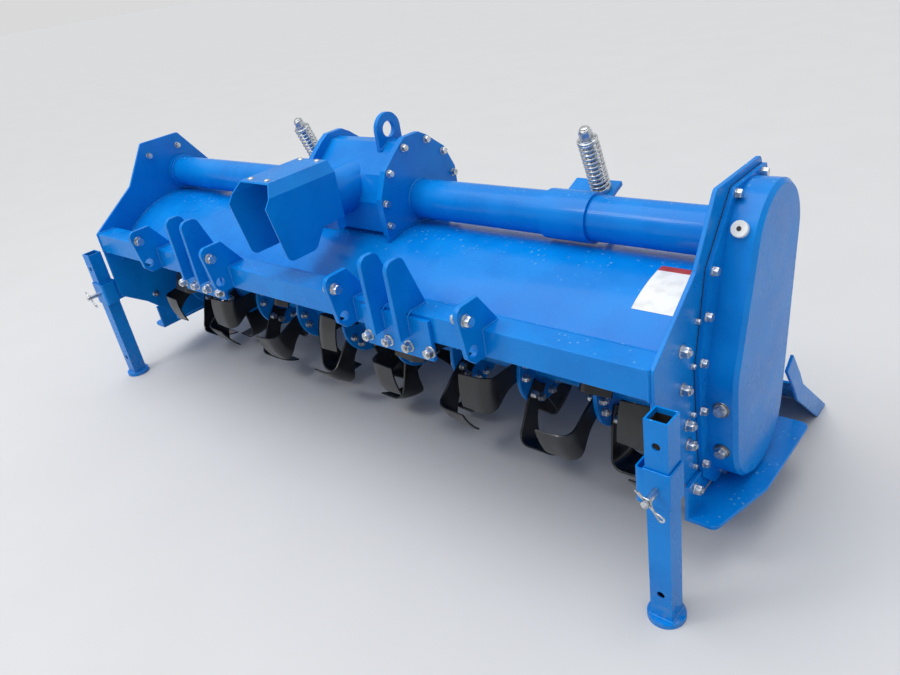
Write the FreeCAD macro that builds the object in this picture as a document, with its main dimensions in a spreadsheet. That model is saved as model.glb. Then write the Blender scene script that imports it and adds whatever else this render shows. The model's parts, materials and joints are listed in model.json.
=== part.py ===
"""Tractor-mounted rotavator: hood, side-drive case, bladed rotor, sprung trailing board, parking legs.

Millimetres, +Z up, ground at z = 0. The tractor side faces -Y and the drive case is on +X.
Lengths named ..._front are measured ahead of the rotor axis and ..._rear behind it.
"""
import FreeCAD, Part
import math
import os

import Sketcher
from FreeCAD import Placement, Rotation, Vector

# alias, millimetres or degrees, what it sets
DIMENSIONS = (
    ("half_width", 1140, "side plate outer face from the centre plane"),
    ("plate_wall", 10, "side plate"),
    ("rotor_y", -37, "rotor axis along Y"),
    ("rotor_z", 295, "rotor axis above the ground"),
    ("beam_front", 360, "front face of the beam"),
    ("beam_size", 70, "square beam"),
    ("beam_wall", 6, "square beam"),
    ("beam_top", 598, "top face of the beam"),
    ("plate_shoulder_rise", 12, "upper end of the sloping front edge above the top tube axis"),
    ("plate_shoulder_front", 174, "upper end of the sloping front edge"),
    ("plate_crown_front", 78, "front end of the level top edge"),
    ("left_crown_rear", 84, "rear end of the left plate's level top edge"),
    ("right_crown_rear", 148, "rear end of the right plate's level top edge"),
    ("plate_rise", 150, "level top edge above the top tube axis"),
    ("plate_rear", 285, "upright rear edge"),
    ("plate_rear_drop", 122, "top of the upright rear edge below the top tube axis"),
    ("plate_rear_low", 420, "bottom of the upright rear edge"),
    ("plate_tail_rear", 250, "rear lower corner"),
    ("plate_tail_z", 230, "rear lower corner"),
    ("plate_foot_half", 150, "half length of the lower edge"),
    ("plate_foot_z", 150, "lower edge"),
    ("plate_chin_front", 268, "front lower corner"),
    ("plate_chin_z", 274, "front lower corner"),
    ("plate_nose_z", 341, "foot of the front edge"),
    ("plate_round", 12, "corners of the side plates"),
    ("deck_radius", 352, "outside of the hood sheet, about the rotor axis"),
    ("deck_wall", 5, "hood sheet"),
    ("deck_rear", 170, "rear edge of the hood sheet"),
    ("tube_y", 62, "top tube axis behind the rotor axis"),
    ("tube_rise", 65, "top tube axis above the hood's crown"),
    ("tube_radius", 57, "top tube"),
    ("tube_wall", 8, "top tube"),
    ("tube_flange_radius", 67, "round flange at the side plates"),
    ("tube_flange_wall", 14, "round flange at the side plates"),
    ("hitch_x", 11, "centre of the hitch and of the input shaft"),
    ("gearbox_left", 170, "left flange face from the hitch centre"),
    ("gearbox_right", 180, "right flange face from the hitch centre"),
    ("gearbox_flange_wall", 20, "end flanges of the gearbox"),
    ("gearbox_reach", 162, "end flanges ahead of and behind the top tube axis"),
    ("gearbox_hip_z", 49, "top of the flanges' upright sides above the top tube axis"),
    ("gearbox_haunch_y", 127, "haunches of the flanges"),
    ("gearbox_haunch_z", 120, "haunches of the flanges above the top tube axis"),
    ("gearbox_shoulder_y", 60, "shoulders of the flanges"),
    ("gearbox_shoulder_z", 172, "shoulders of the flanges above the top tube axis"),
    ("gearbox_crown_half", 30, "half of the flanges' level crown"),
    ("gearbox_rise", 189, "crown of the flanges above the top tube axis"),
    ("gearbox_inset", 20, "housing inside its end flanges"),
    ("gearbox_seat_rise", 6, "flat seat under the gearbox above the hood's crown"),
    ("cradle_wall", 12, "cheeks under the gearbox"),
    ("input_rise", 58, "input shaft axis above the top tube axis"),
    ("input_cap_radius", 68, "bearing cap round the input shaft"),
    ("input_cap_length", 34, "bearing cap round the input shaft"),
    ("input_journal_radius", 25, "smooth part of the input shaft"),
    ("input_radius", 17.5, "splined part of the input shaft"),
    ("input_length", 95, "splined part of the input shaft"),
    ("input_root_radius", 15, "bottom of the spline grooves"),
    ("spline_groove_width", 9.6, "spline grooves"),
    ("spline_relief", 14, "plain end of the splined part"),
    ("bearing_clearance", 0.05, "radial play of turning shafts"),
    ("nose_front", 190, "front face of the gearbox nose that carries the guard"),
    ("nose_drop", 76, "lower edge of the gearbox nose below the input shaft"),
    ("eye_x", 78, "lifting eye from the hitch centre"),
    ("eye_radius", 48, "lifting eye"),
    ("eye_hole_radius", 22.5, "lifting eye"),
    ("eye_rise", 33, "centre of the lifting eye above the housing's crown"),
    ("eye_wall", 14, "lifting eye"),
    ("guard_half_top", 62, "level top of the shaft guard"),
    ("guard_half_width", 84, "side walls of the shaft guard"),
    ("guard_rise", 118, "top of the shaft guard above the input shaft"),
    ("guard_shoulder_drop", 31, "top of the guard's side walls below its top"),
    ("guard_lip_drop", 55, "foremost corner of the guard's side walls below its top"),
    ("guard_front", 366, "front edge of the guard's top"),
    ("guard_rear", 162, "rear edge of the guard"),
    ("guard_wall", 4, "shaft guard sheet"),
    ("guard_skirt_drop", 96, "lower edge of the shaft guard below the input shaft"),
    ("guard_lip_front", 409, "foremost corner of the guard's side walls"),
    ("guard_toe_front", 380, "front lower corner of the guard's side walls"),
    ("guard_heel_front", 283, "rear lower corner of the guard's side walls"),
    ("guard_back_drop", 44, "rear of the guard's side walls below the input shaft"),
    ("guard_back_front", 242, "rear of the guard's side walls"),
    ("guard_round", 24, "lower corners of the guard's side walls"),
    ("ear_wall", 14, "hitch ears"),
    ("inner_ear_x", 282, "inner hitch ears from the hitch centre"),
    ("outer_ear_x", 710, "outer hitch ears from the hitch centre"),
    ("ear_front", 438, "upper end of the ears' front edge"),
    ("ear_toe_front", 420, "lower end of the ears' front edge"),
    ("ear_rise", 84, "top of the hitch ears above the beam"),
    ("ear_drop", 68, "bottom of the hitch ears below the beam's top"),
    ("ear_round", 22, "corners of the hitch ears"),
    ("ear_heel", 60, "hitch ears and ribs along the beam's top"),
    ("ear_pin_front", 400, "lower link pin hole"),
    ("ear_pin_drop", 34, "lower link pin hole below the beam's top"),
    ("ear_pin_radius", 14.25, "lower link pin hole"),
    ("ear_bolt_front", 411, "upper bolt hole"),
    ("ear_bolt_rise", 48, "upper bolt hole above the beam"),
    ("ear_bolt_radius", 10, "upper bolt hole"),
    ("rib_inner_x", 399, "inner rib from the hitch centre"),
    ("rib_outer_x", 486, "outer rib from the hitch centre"),
    ("rib_rise", 144, "top of the ribs above the beam"),
    ("rib_front", 408, "front edge of the ribs"),
    ("rib_foot_drop", 60, "bottom of the ribs below the beam's top"),
    ("rib_head_front", 352, "rear side of the rib heads"),
    ("rib_round", 24, "heads of the ribs"),
    ("base_plate_wall", 12, "plate that carries two ribs"),
    ("base_plate_margin", 72, "base plate beyond the ribs"),
    ("base_plate_drop", 118, "lower edge of the base plate below the beam's top"),
    ("base_plate_top_drop", 8, "upper edge of the base plate below the beam's top"),
    ("case_flange_wall", 10, "flange of the side-drive cover"),
    ("case_gasket_wall", 2, "gasket of the side-drive cover"),
    ("case_depth", 77, "side-drive cover from the side plate, with its flange"),
    ("case_flange_rise", 134, "level top edge of the flange above the top tube axis"),
    ("case_crown_front", 17, "front end of the flange's top edge"),
    ("case_crown_rear", 150, "rear end of the flange's top edge"),
    ("case_shoulder_front", 135, "front shoulder of the flange"),
    ("case_shoulder_rise", 3, "front shoulder of the flange above the top tube axis"),
    ("case_back_drop", 12, "rear shoulder of the flange below the top tube axis"),
    ("case_waist_front", 188, "front edge of the flange"),
    ("case_waist_rear", 205, "rear edge of the flange"),
    ("case_waist_z", 500, "widest part of the flange"),
    ("case_foot_half", 165, "lower corners of the flange"),
    ("case_foot_z", 215, "lower corners of the flange"),
    ("case_toe_half", 100, "half length of the flange's lower edge"),
    ("case_toe_z", 152, "lower edge of the flange"),
    ("case_upper_radius", 128, "cover round the top tube axis"),
    ("case_middle_radius", 150, "cover at mid height"),
    ("case_middle_z", 450, "cover at mid height"),
    ("case_lower_radius", 140, "cover round the rotor axis"),
    ("case_chamfer", 9, "outer edge of the cover"),
    ("cap_radius", 17, "oil filler cap"),
    ("cap_length", 12, "oil filler cap"),
    ("cap_angle", 152, "oil filler cap round the top tube axis"),
    ("cap_x", 38, "oil filler cap from the side plate"),
    ("skid_reach", 117, "skid sole beyond the side plate"),
    ("skid_wall", 10, "skid sole and straps"),
    ("skid_low", 135, "underside of the skid soles"),
    ("skid_front", 237, "front edge of the skid soles"),
    ("skid_rear", 235, "rear edge of the skid soles"),
    ("skid_chamfer_width", 45, "slanted outer edge at the front of the soles"),
    ("skid_chamfer_length", 185, "slanted outer edge at the front of the soles"),
    ("skid_round", 20, "corners of the soles"),
    ("skid_strap_width", 66, "upright straps at the ends of each sole"),
    ("skid_strap_height", 87, "upright straps at the ends of each sole"),
    ("leg_size", 50, "square parking legs"),
    ("leg_wall", 4, "square parking legs"),
    ("leg_top", 530, "upper end of the parking legs"),
    ("leg_front", 392, "parking leg axes"),
    ("leg_play", 0.3, "legs in their sockets, each side"),
    ("leg_hole_radius", 9, "pin holes in the legs"),
    ("leg_hole_top", 58, "upper pin hole below the leg's top"),
    ("leg_hole_low", 69, "lower pin hole above the foot"),
    ("foot_radius", 42, "round feet"),
    ("foot_height", 12, "round feet"),
    ("socket_wall", 4.7, "leg sockets"),
    ("socket_low", 327, "leg sockets"),
    ("socket_height", 85, "leg sockets"),
    ("socket_wing", 60, "tongue of each socket along its side plate"),
    ("pin_radius", 8, "locking pins of the legs"),
    ("pin_length", 48, "locking pins of the legs"),
    ("rotor_tube_radius", 45, "rotor tube"),
    ("rotor_tube_wall", 8, "rotor tube"),
    ("rotor_end_gap", 44, "rotor tube end from the side plate's outer face"),
    ("stub_radius", 30, "stub shafts of the rotor"),
    ("bearing_radius", 82, "rotor bearings"),
    ("bearing_length", 30, "rotor bearings"),
    ("bearing_cap_length", 40, "outer cap of the left rotor bearing"),
    ("left_disc_gap", 94, "first blade disc from the left plate's outer face"),
    ("right_disc_gap", 53, "last blade disc from the right plate's outer face"),
    ("disc_radius", 122, "blade discs"),
    ("disc_wall", 12, "blade discs"),
    ("blade_wall", 8, "blades"),
    ("blade_width", 62, "blade shanks"),
    ("blade_root", 78, "inner end of the blade shanks"),
    ("blade_reach", 245, "blade tips from the rotor axis"),
    ("blade_hook", 82, "bent ends of the blades along the rotor"),
    ("blade_hook_arc", 24, "bent ends of the blades round the rotor"),
    ("rail_wall", 8, "rail along the hood's rear edge"),
    ("rail_over", 2.3, "rail above the hood's rear edge"),
    ("rail_height", 35, "rail along the hood's rear edge"),
    ("hinge_back", 25, "trailing board hinge behind the hood's rear edge"),
    ("hinge_drop", 50, "trailing board hinge below the rail's top"),
    ("hinge_pin_radius", 9, "trailing board hinge"),
    ("hinge_sleeve_radius", 17, "trailing board hinge"),
    ("hinge_sleeve_length", 80, "trailing board hinge"),
    ("hinge_gap", 5, "between hinge ears and sleeves"),
    ("hinge_ear_wall", 8, "trailing board hinge"),
    ("hinge_ear_corner", 9, "cut corner of the hinge ears"),
    ("hinge_edge", 190, "outer hinges from the side plates' outer faces"),
    ("hinge_inner_x", 480, "inner hinges"),
    ("board_wall", 6, "trailing board sheet"),
    ("board_side_gap", 8, "trailing board to the side plates"),
    ("board_top_drop", 32, "upper edge of the trailing board below the hinge"),
    ("board_top_back", 11, "upper edge of the trailing board behind the hinge"),
    ("board_bend_rear", 315, "bend of the trailing board"),
    ("board_bend_z", 200, "bend of the trailing board"),
    ("board_lip_rear", 540, "lower edge of the trailing board"),
    ("board_wing_rear", 330, "where the lower panel grows wider"),
    ("board_reach", 70, "lower panel beyond the side plates"),
    ("board_end_width", 48, "end straps of the trailing board"),
    ("board_end_wall", 8, "end straps of the trailing board"),
    ("arm_top_rear", 226, "upper end of the end straps"),
    ("arm_top_z", 341, "upper end of the end straps"),
    ("arm_knee_rear", 286, "knee of the end straps"),
    ("arm_knee_z", 258, "knee of the end straps"),
    ("rod_left_x", -353, "left spring rod"),
    ("rod_right_x", 740, "right spring rod"),
    ("rod_radius", 10, "spring rods"),
    ("rod_foot_rear", 305, "rod pins behind the rotor axis"),
    ("rod_foot_z", 330, "rod pins"),
    ("rod_guide_rear", 156, "centre of the rod guides"),
    ("rod_guide_rise", 33, "centre of the rod guides above the top tube axis"),
    ("rod_above_guide", 190, "rod beyond its guide"),
    ("spring_radius", 24, "outside of the springs"),
    ("spring_wire", 6, "spring wire"),
    ("spring_length", 150, "springs above the guides"),
    ("washer_wall", 5, "washers of the springs"),
    ("top_washer_radius", 20, "upper washers of the springs"),
    ("nut_radius", 17, "nuts at the rod ends"),
    ("nut_height", 16, "nuts at the rod ends"),
    ("guide_wall", 12, "rod guides"),
    ("guide_half_width", 37, "rod guides beyond the rods"),
    ("guide_reach", 95, "guide plates ahead of the rods"),
    ("guide_tail", 40, "guide plates behind the rods"),
    ("guide_slot_width", 30, "rod slots"),
    ("guide_slot_length", 44, "rod slots"),
    ("collar_wall", 7, "collars round the top tube"),
    ("rod_eye_radius", 20, "rod eyes"),
    ("rod_eye_width", 20, "rod eyes"),
    ("rod_pin_radius", 8, "rod pins"),
    ("lug_wall", 8, "lugs on the trailing board"),
    ("lug_gap", 3, "between rod eyes and lugs"),
    ("lug_radius", 24, "lugs on the trailing board"),
    ("lug_spread", 58, "lugs along the board above and below the rod pins"),
)
HINGE_SIGNS = (-1, 1)
SIDES = (("left", -1), ("right", 1))
BLADES_PER_DISC = 6
DISC_COUNT = 10
DISC_EDGES = 18
DISC_BORE_EDGES = 12
DISC_STAGGER = 0.4
HOOK_SHARES = (0, 0.75, 1.5)
NUT_EDGES = 6
SPLINE_COUNT = 6

doc = FreeCAD.newDocument("rotavator")
sheet = doc.addObject("Spreadsheet::Sheet", "Sizes")
for row, (alias, value, note) in enumerate(DIMENSIONS, start=1):
    sheet.set(f"A{row}", alias)
    sheet.set(f"B{row}", str(value))
    sheet.set(f"C{row}", note)
    sheet.setAlias(f"B{row}", alias)
doc.recompute()


class Size:
    """A length or an angle that carries its number and the sheet formula that gives it."""

    def __init__(self, number, formula):
        self.number = float(number)
        self.formula = formula

    def __float__(self):
        return self.number

    def __add__(self, other):
        return combine(self, "+", other, self.number + float(other))

    def __radd__(self, other):
        return combine(other, "+", self, float(other) + self.number)

    def __sub__(self, other):
        return combine(self, "-", other, self.number - float(other))

    def __rsub__(self, other):
        return combine(other, "-", self, float(other) - self.number)

    def __mul__(self, other):
        return combine(self, "*", other, self.number * float(other))

    __rmul__ = __mul__

    def __truediv__(self, other):
        return combine(self, "/", other, self.number / float(other))

    def __neg__(self):
        return self * -1


def combine(left, sign, right, number):
    """Join two sizes, or a size and a number, into one formula."""
    words = [part.formula if isinstance(part, Size) else f"({part})" for part in (left, right)]
    return Size(number, f"({words[0]} {sign} {words[1]})")


class Sizes:
    """Reads the sheet: sizes.beam_top is the cell with that alias."""

    def __getattr__(self, alias):
        return Size(sheet.get(alias), f"Sizes.{alias}")


s = Sizes()
parts = []


def bind(target, name, size):
    """Bind a property to a size, or set it where it is a plain number."""
    if isinstance(size, Size):
        target.setExpression(name, size.formula)
    else:
        target.setExpression(name, str(float(size)))


def front(size):
    """Y of a point ahead of the rotor axis."""
    return s.rotor_y - size


def rear(size):
    """Y of a point behind the rotor axis."""
    return s.rotor_y + size


def keep(piece, label):
    """Name a finished sub-part and put it on the list of parts."""
    piece.Label = label
    parts.append(piece)
    return piece


def box(name, low, high):
    """A box between two corners given as sizes."""
    piece = doc.addObject("Part::Box", name)
    for axis, side, start, end in zip("xyz", ("Length", "Width", "Height"), low, high):
        bind(piece, side, end - start)
        bind(piece, f"Placement.Base.{axis}", start)
    return piece


AXIS_TURNS = {
    "x": Rotation(Vector(0, 1, 0), 90),
    "y": Rotation(Vector(1, 0, 0), -90),
    "z": Rotation(),
}


def cylinder(name, axis, radius, start, length):
    """A cylinder from its start point along +X, +Y or +Z."""
    piece = doc.addObject("Part::Cylinder", name)
    piece.Placement = Placement(Vector(), AXIS_TURNS[axis])
    bind(piece, "Radius", radius)
    bind(piece, "Height", length)
    for letter, place in zip("xyz", start):
        bind(piece, f"Placement.Base.{letter}", place)
    return piece


def fuse(name, pieces):
    """Join pieces into one solid."""
    result = doc.addObject("Part::MultiFuse", name)
    result.Shapes = pieces
    result.Refine = True
    return result


def cut(name, base, *tools):
    """Take one or more tools out of a piece."""
    result = base
    for number, tool in enumerate(tools):
        step = doc.addObject("Part::Cut", f"{name}_{number}")
        step.Base = result
        step.Tool = tool
        step.Refine = True
        result = step
    return result


def common(name, base, tool):
    """Keep what two pieces share."""
    result = doc.addObject("Part::Common", name)
    result.Base = base
    result.Tool = tool
    result.Refine = True
    return result


def group(name, pieces):
    """Hold several separate solids as one sub-part."""
    result = doc.addObject("Part::Compound", name)
    result.Links = pieces
    return result


def tube(name, axis, radius, wall, start, length):
    """A round tube from its start point along an axis."""
    outer = cylinder(f"{name}_outer", axis, radius, start, length)
    inner = cylinder(f"{name}_inner", axis, radius - wall, start, length)
    return cut(name, outer, inner)


def free_shape(name, shape):
    """A shape made from the sheet's numbers."""
    piece = doc.addObject("Part::Feature", name)
    piece.Shape = shape
    return piece


def pin_point(sketch, geometry, end, u, v):
    """Hold a sketch point at two sizes from the sketch's origin."""
    for kind, size in (("DistanceX", u), ("DistanceY", v)):
        index = sketch.addConstraint(Sketcher.Constraint(kind, geometry, end, float(size)))
        if isinstance(size, Size):
            sketch.setExpression(f"Constraints[{index}]", size.formula)


def draw_outline(sketch, points):
    """Draw a closed outline of straight edges through points given as sizes."""
    first = sketch.GeometryCount
    count = len(points)
    corners = [Vector(float(u), float(v), 0) for u, v in points]
    for index, corner in enumerate(corners):
        sketch.addGeometry(Part.LineSegment(corner, corners[(index + 1) % count]), False)
    for index, (u, v) in enumerate(points):
        follower = first + (index + 1) % count
        sketch.addConstraint(Sketcher.Constraint("Coincident", first + index, 2, follower, 1))
        pin_point(sketch, first + index, 1, u, v)


def draw_hole(sketch, u, v, radius):
    """Draw a round hole."""
    circle = Part.Circle(Vector(float(u), float(v), 0), Vector(0, 0, 1), float(radius))
    index = sketch.addGeometry(circle, False)
    pin_point(sketch, index, 3, u, v)
    size = sketch.addConstraint(Sketcher.Constraint("Radius", index, float(radius)))
    bind(sketch, f"Constraints[{size}]", radius)


def corner_edges(feature, across, corners):
    """Names of the edges that stand on the given corners of a padded outline."""
    names = []
    for number, edge in enumerate(feature.Shape.Edges, start=1):
        ends = [tuple(getattr(vertex.Point, letter) for letter in across) for vertex in edge.Vertexes]
        for corner in corners:
            if len(ends) == 2 and all(math.dist(end, corner) < 0.01 for end in ends):
                names.append(f"Edge{number}")
    return names


def plate(name, role, start, wall, outline, holes=(), rounds=()):
    """A flat plate as a padded sketch.

    role is the body's origin plane, start the plate's place along that plane's normal, and
    rounds lists (radius, corner numbers).
    """
    body = doc.addObject("PartDesign::Body", name)
    plane = next(item for item in body.Origin.OriginFeatures if item.Role == role)
    sketch = body.newObject("Sketcher::SketchObject", f"{name}_sketch")
    sketch.AttachmentSupport = [(plane, "")]
    sketch.MapMode = "FlatFace"
    bind(sketch, "AttachmentOffset.Base.z", start)
    draw_outline(sketch, outline)
    for u, v, radius in holes:
        draw_hole(sketch, u, v, radius)
    pad = body.newObject("PartDesign::Pad", f"{name}_pad")
    pad.Profile = sketch
    bind(pad, "Length", wall)
    sketch.Visibility = False
    doc.recompute()
    across = {"YZ_Plane": "yz", "XZ_Plane": "xz", "XY_Plane": "xy"}[role]
    for number, (radius, indexes) in enumerate(rounds):
        corners = [tuple(float(value) for value in outline[index]) for index in indexes]
        base = body.Tip
        fillet = body.newObject("PartDesign::Fillet", f"{name}_round_{number}")
        fillet.Base = (base, corner_edges(base, across, corners))
        bind(fillet, "Radius", radius)
        doc.recompute()
    return body


def prism(points, direction):
    """A solid from a closed polygon of plain points, pushed along a direction."""
    return Part.Face(Part.makePolygon(points + points[:1])).extrude(direction)


def yz(x, pairs):
    """Points in an upright plane across the machine."""
    return [Vector(float(x), float(y), float(z)) for y, z in pairs]


def regular(x, radius, count):
    """Corners of a regular outline round the X axis."""
    step = 2 * math.pi / count
    return [Vector(x, radius * math.cos(index * step), radius * math.sin(index * step))
            for index in range(count)]


def belt_wire(x, circles):
    """A closed outline round circles that stand one above the other, given top first.

    Each circle is (y, z, radius). Neighbours are joined by their outer tangents.
    """
    def tangent(first, second, side):
        (y1, z1, r1), (y2, z2, r2) = first, second
        heading = math.atan2(z2 - z1, y2 - y1)
        lean = math.acos((r1 - r2) / math.hypot(y2 - y1, z2 - z1))
        angle = heading + side * lean
        spread = (math.cos(angle), math.sin(angle))
        return [(y + r * spread[0], z + r * spread[1]) for y, z, r in (first, second)]

    def chain(side):
        """The tangents down one side, leaving out a circle that stays inside them."""
        lines, start = [], 0
        while start < len(circles) - 1:
            for end in range(len(circles) - 1, start, -1):
                line = tangent(circles[start], circles[end], side)
                (y1, z1), (y2, z2) = line
                length = math.dist(*line)
                proud = [((y2 - y1) * (z - z1) - (z2 - z1) * (y - y1)) * side / length + r
                         for y, z, r in circles[start + 1:end]]
                if all(value < 1e-6 for value in proud):
                    break
            lines.append((start, end, line))
            start = end
        return lines

    def vector(pair):
        return Vector(x, pair[0], pair[1])

    def arc(circle, start, end, aim):
        y, z, r = circle
        middle = (start[0] + end[0]) / 2 - y, (start[1] + end[1]) / 2 - z
        length = math.hypot(*middle)
        if length < r / 100 or middle[0] * aim[0] + middle[1] * aim[1] < 0:
            middle, length = aim, 1.0
        through = (y + r * middle[0] / length, z + r * middle[1] / length)
        return Part.Arc(vector(start), vector(through), vector(end)).toShape()

    edges = []
    front_side, rear_side = chain(-1), chain(1)
    for lines, aim in ((front_side, (-1.0, 0.0)), (rear_side, (1.0, 0.0))):
        for _, _, line in lines:
            edges.append(Part.LineSegment(vector(line[0]), vector(line[1])).toShape())
        for (_, joint, line), (_, _, following) in zip(lines, lines[1:]):
            edges.append(arc(circles[joint], line[1], following[0], aim))
    edges.append(arc(circles[-1], front_side[-1][2][1], rear_side[-1][2][1], (0.0, -1.0)))
    edges.append(arc(circles[0], rear_side[0][2][0], front_side[0][2][0], (0.0, 1.0)))
    return Part.Wire(Part.__sortEdges__(edges))


# Places that several pieces share
rotor_y = s.rotor_y
rotor_z = s.rotor_z
inner_width = s.half_width - s.plate_wall
beam_low = s.beam_top - s.beam_size
beam_front_y = front(s.beam_front)
beam_rear_y = beam_front_y + s.beam_size
hood_top = rotor_z + s.deck_radius
tube_y = rear(s.tube_y)
tube_z = hood_top + s.tube_rise
gearbox_seat = hood_top + s.gearbox_seat_rise
input_z = tube_z + s.input_rise
guard_top = input_z + s.guard_rise
guard_shoulder = guard_top - s.guard_shoulder_drop
hood_front_edge = Size(
    math.sqrt(float(s.deck_radius) ** 2 - float(s.beam_front - s.beam_size) ** 2),
    "sqrt(Sizes.deck_radius ^ 2 - (Sizes.beam_front - Sizes.beam_size) ^ 2)")
hood_rear_edge = Size(math.sqrt(float(s.deck_radius) ** 2 - float(s.deck_rear) ** 2),
                      "sqrt(Sizes.deck_radius ^ 2 - Sizes.deck_rear ^ 2)")
rail_top = rotor_z + hood_rear_edge + s.rail_over
hinge_y = rear(s.deck_rear + s.hinge_back)
hinge_z = rail_top - s.hinge_drop
hinge_places = [place * sign for place in (s.half_width - s.hinge_edge, s.hinge_inner_x)
                for sign in HINGE_SIGNS]
leg_y = front(s.leg_front)
socket_half = s.leg_size / 2 + s.leg_play + s.socket_wall
leg_offset = s.half_width + socket_half


def make_front_beam():
    """Square tube between the side plates."""
    low = (-inner_width, beam_front_y, beam_low)
    high = (inner_width, beam_rear_y, s.beam_top)
    wall = s.beam_wall
    outer = box("beam_outer", low, high)
    inner = box("beam_inner", (low[0], low[1] + wall, low[2] + wall),
                (high[0], high[1] - wall, high[2] - wall))
    keep(cut("beam", outer, inner), "front_beam")


def make_side_plate(side, sign):
    """Profiled side plate with the opening for the rotor shaft."""
    crown = tube_z + s.plate_rise
    outline = (
        (beam_front_y, s.plate_nose_z),
        (beam_front_y, s.beam_top),
        (front(s.plate_shoulder_front), tube_z + s.plate_shoulder_rise),
        (front(s.plate_crown_front), crown),
        (rear(s.right_crown_rear if sign > 0 else s.left_crown_rear), crown),
        (rear(s.plate_rear), tube_z - s.plate_rear_drop),
        (rear(s.plate_rear), s.plate_rear_low),
        (rear(s.plate_tail_rear), s.plate_tail_z),
        (rear(s.plate_foot_half), s.plate_foot_z),
        (front(s.plate_foot_half), s.plate_foot_z),
        (front(s.plate_chin_front), s.plate_chin_z),
    )
    start = inner_width if sign > 0 else -s.half_width
    holes = ((rotor_y, rotor_z, s.stub_radius + s.plate_wall),)
    rounds = ((s.plate_round, (1, 3, 4, 5)),)
    keep(plate(f"{side}_plate", "YZ_Plane", start, s.plate_wall, outline, holes, rounds),
         f"{side}_side_plate")


def make_hood_deck():
    """Rolled sheet over the rotor, from the beam to the hinge rail, with its apron on the beam."""
    start = (-inner_width, rotor_y, rotor_z)
    ring = tube("deck_ring", "x", s.deck_radius, s.deck_wall, start, inner_width * 2)
    window = box("deck_window", (-inner_width, beam_rear_y, rotor_z),
                 (inner_width, rear(s.deck_rear), hood_top + s.deck_wall))
    apron = box("deck_apron", (-inner_width, beam_rear_y, rotor_z + hood_front_edge - s.deck_wall),
                (inner_width, beam_rear_y + s.deck_wall, s.beam_top))
    keep(fuse("deck", [common("deck_arch", ring, window), apron]), "hood_deck")


def make_rear_rail():
    """Flat bar on the hood's rear edge with the hinge ears and pins."""
    face = rear(s.deck_rear)
    pieces = [box("rail_bar", (-inner_width, face, rail_top - s.rail_height),
                  (inner_width, face + s.rail_wall, rail_top))]
    half_sleeve = s.hinge_sleeve_length / 2 + s.hinge_gap
    eye = s.hinge_sleeve_radius
    for number, place in enumerate(hinge_places):
        for sign in (-1, 1):
            start = place + half_sleeve if sign > 0 else place - half_sleeve - s.hinge_ear_wall
            name = f"rail_ear_{number}_{'in' if sign < 0 else 'out'}"
            outline = (
                (face + s.rail_wall, rail_top),
                (face + s.rail_wall, hinge_z - eye),
                (hinge_y + eye - s.hinge_ear_corner, hinge_z - eye),
                (hinge_y + eye, hinge_z - eye + s.hinge_ear_corner),
                (hinge_y + eye, hinge_z + eye),
            )
            pieces.append(plate(name, "YZ_Plane", start, s.hinge_ear_wall, outline))
        reach = half_sleeve + s.hinge_ear_wall
        pieces.append(cylinder(f"rail_pin_{number}", "x", s.hinge_pin_radius,
                               (place - reach, hinge_y, hinge_z), reach * 2))
    keep(fuse("rail", pieces), "rear_rail")


def make_top_tube(side, start, length, flange_start):
    """Round tube between the gearbox and a side plate, with its end flange."""
    pipe = tube(f"{side}_pipe", "x", s.tube_radius, s.tube_wall, (start, tube_y, tube_z), length)
    ring = tube(f"{side}_pipe_flange", "x", s.tube_flange_radius,
                s.tube_flange_radius - s.tube_radius + s.tube_wall,
                (flange_start, tube_y, tube_z), s.tube_flange_wall)
    keep(fuse(f"{side}_tube", [pipe, ring]), f"{side}_top_tube")


def gearbox_outline(inset):
    """Upright sides, a many-sided top and a flat seat, inside the end flanges by inset."""
    steps = (
        (s.gearbox_reach - inset, s.gearbox_hip_z - inset),
        (s.gearbox_haunch_y - inset, s.gearbox_haunch_z - inset),
        (s.gearbox_shoulder_y - inset, s.gearbox_shoulder_z - inset),
        (s.gearbox_crown_half - inset / 2, s.gearbox_rise - inset),
    )
    seat = (s.gearbox_reach - inset, gearbox_seat)
    front_side = [(tube_y - seat[0], seat[1])] + [(tube_y - y, tube_z + z) for y, z in steps]
    rear_side = [(tube_y + y, tube_z + z) for y, z in steps[::-1]] + [(tube_y + seat[0], seat[1])]
    return front_side + rear_side


def guard_section(inset, low):
    """Upright walls, slanted shoulders and a level top round the input shaft, inside by inset."""
    half = s.guard_half_width - inset
    top_half = s.guard_half_top - inset / 2
    shoulder = guard_shoulder - inset / 2
    top = guard_top - inset
    left_side = [(s.hitch_x - half, low), (s.hitch_x - half, shoulder), (s.hitch_x - top_half, top)]
    right_side = [(s.hitch_x + top_half, top), (s.hitch_x + half, shoulder), (s.hitch_x + half, low)]
    return left_side + right_side


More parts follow.
